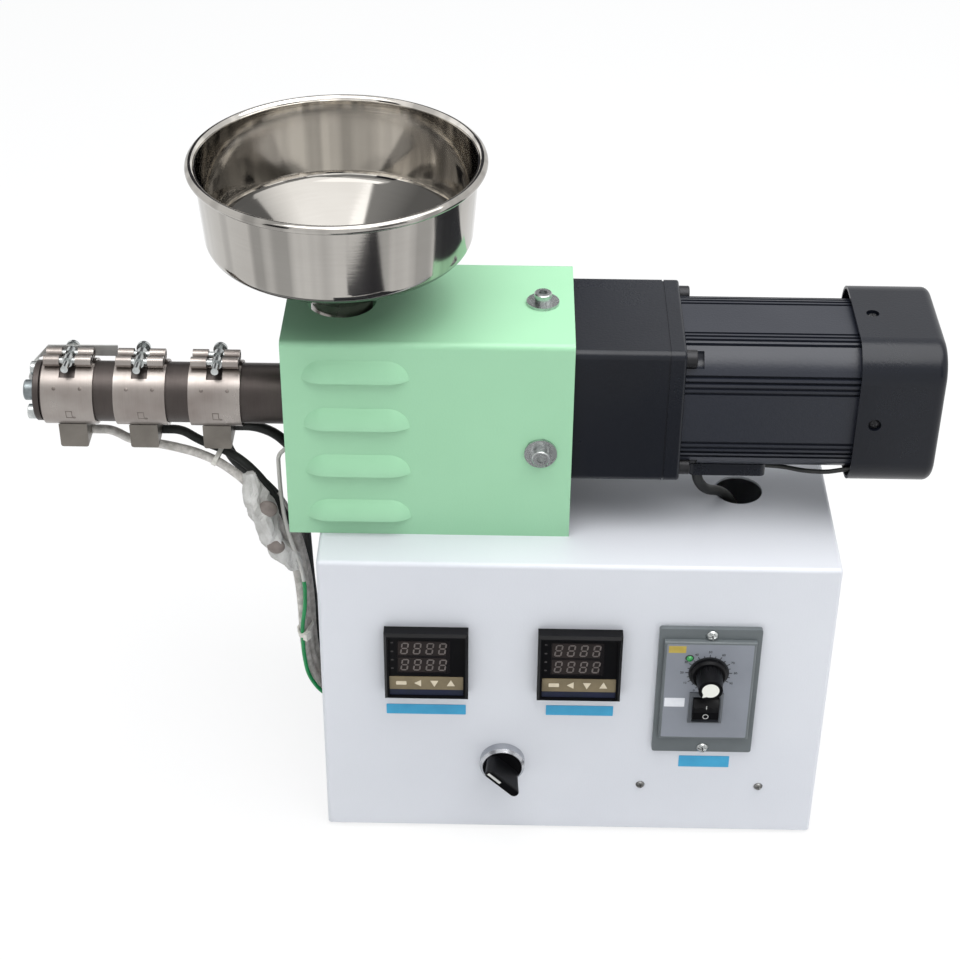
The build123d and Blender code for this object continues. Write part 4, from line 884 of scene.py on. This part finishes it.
def strap(place, run, leads, head_turn):
    """Closed strap round several leads. Looking along the run, the point at angle a is the lead's
    middle farthest that way plus its radius, which is the outline of a string drawn round them;
    the strap's section is a rectangle on that outline. A square head sits at one angle."""
    place, run = np.array(place, float), np.array(run) / np.linalg.norm(run)
    first, second = across_run(run)
    middles = np.array([lead[:3] for lead in leads], float) - place
    flat = np.column_stack([middles @ first, middles @ second])
    radii = np.array([lead[3] for lead in leads])
    angle = circle(72)
    out = np.column_stack([np.cos(angle), np.sin(angle)])
    far = np.argmax(out @ flat.T + radii, axis=1)
    rows = []
    for rise, shift in ((0, -1), (0, 1), (STRAP_THICKNESS, 1), (STRAP_THICKNESS, -1)):
        outline = flat[far] + out * (radii[far] + EMBED + rise)[:, None]
        rows.append(place + outline[:, :1] * first + outline[:, 1:] * second + shift * STRAP_WIDTH / 2 * run)
    here = np.argmin(np.abs((angle - head_turn + np.pi) % (2 * np.pi) - np.pi))
    up = out[here, 0] * first + out[here, 1] * second
    i, j = HEAD_HALF_LENGTH, HEAD_HALF_WIDTH
    corners = np.array([(x, y, z) for z in HEAD_HEIGHTS for x, y in ((-i, -j), (i, -j), (i, j), (-i, j))])
    head = rows[3][here] + run * STRAP_WIDTH / 2 + corners @ np.vstack([run, np.cross(run, up), up])
    box = [(0, 3, 2, 1), (4, 5, 6, 7), (0, 1, 5, 4), (1, 2, 6, 5), (2, 3, 7, 6), (3, 0, 4, 7)]
    return joined(closed_surface(rows), (head, box))


NYLON = finish("white_nylon", ((226, 224, 216), (204, 201, 192)), (0.35, 0.5), 300, 1500, 0.00004)
for tie_name, *tie in TIES:
    put(f"cable_tie_{tie_name}", *strap(*tie), NYLON, "frame", "satin_ring", False)

# Joint wrap. Pale glass cloth crumpled round the joints of the heater wires, and two brown-grey
# sleeve ends that stick out of it.
WRAP_LINE = ((-187.5, -38, 226), (-186, -41, 214), (-181.5, -42, 203), (-178, -43, 191), (-174.5, -43, 179),
             (-168, -42, 170), (-163, -41, 161))
WRAP_RADII = (3.0, 6.6, 8.2, 6.4, 5.8, 6.0, 4.0)
SLEEVE_ENDS = (("upper", -177.0, 206.5, 5.6), ("lower", -173.7, 180.0, 5.2))
SLEEVE_END_Y = -47.0
SLEEVE_END_RISE = 2.6


def wrap():
    """Crumpled wrap: circles along a line whose radius is smoothed between the listed ones and then
    folded, r (1 + 0.16 sin(3 a + 9 t) + 0.10 sin(5 a - 23 t) + 0.06 sin(9 a + 41 t)); few and flat
    facets make the creases."""
    rows, around = 30, 15
    knots = np.linspace(0, 1, len(WRAP_LINE))
    t = np.linspace(0, 1, rows)
    listed = np.column_stack([WRAP_LINE, WRAP_RADII])
    between = np.stack([np.interp(t, knots, column) for column in listed.T], -1)
    padded = np.pad(between, ((1, 1), (0, 0)), "edge")
    smooth = (padded[:-2] + padded[1:-1] + padded[2:]) / 3
    line, radius = smooth[:, :3], smooth[:, 3:]
    run = np.gradient(line, axis=0)
    run /= np.linalg.norm(run, axis=1, keepdims=True)
    first, second = across_run(run)
    a, t = circle(around)[None], t[:, None]
    fold = 1 + 0.16 * np.sin(3 * a + 9 * t) + 0.10 * np.sin(5 * a - 23 * t) + 0.06 * np.sin(9 * a + 41 * t)
    r = (radius * fold)[..., None]
    points = (line[:, None] + r * np.cos(a)[..., None] * first[:, None]
              + r * np.sin(a)[..., None] * second[:, None])
    ends = [list(range(around))[::-1], [(rows - 1) * around + i for i in range(around)]]
    return points.reshape(-1, 3), ring_faces(rows, around) + ends


CLOTH = finish("glass_cloth", ((212, 211, 208), (170, 168, 163)), (0.6, 0.8), 110, 1800, 0.0003)
put("joint_wrap", *wrap(), CLOTH, "frame", "glass_sleeve", False)
SLEEVE_END = finish("sleeve_end", ((138, 128, 122), (112, 103, 98)), (0.5, 0.7), 200, 1800, 0.0002)
for end, x, z, radius in SLEEVE_ENDS:
    put(f"sleeve_end_{end}", *dome(x, z, SLEEVE_END_Y, radius, SLEEVE_END_RISE), SLEEVE_END, "frame",
        "glass_sleeve")

# Gland. Moulded in fine-grained black nylon and screwed into its hole in the right end wall of
# the base.
dress(BLACK_PLASTIC, "mains_gland")
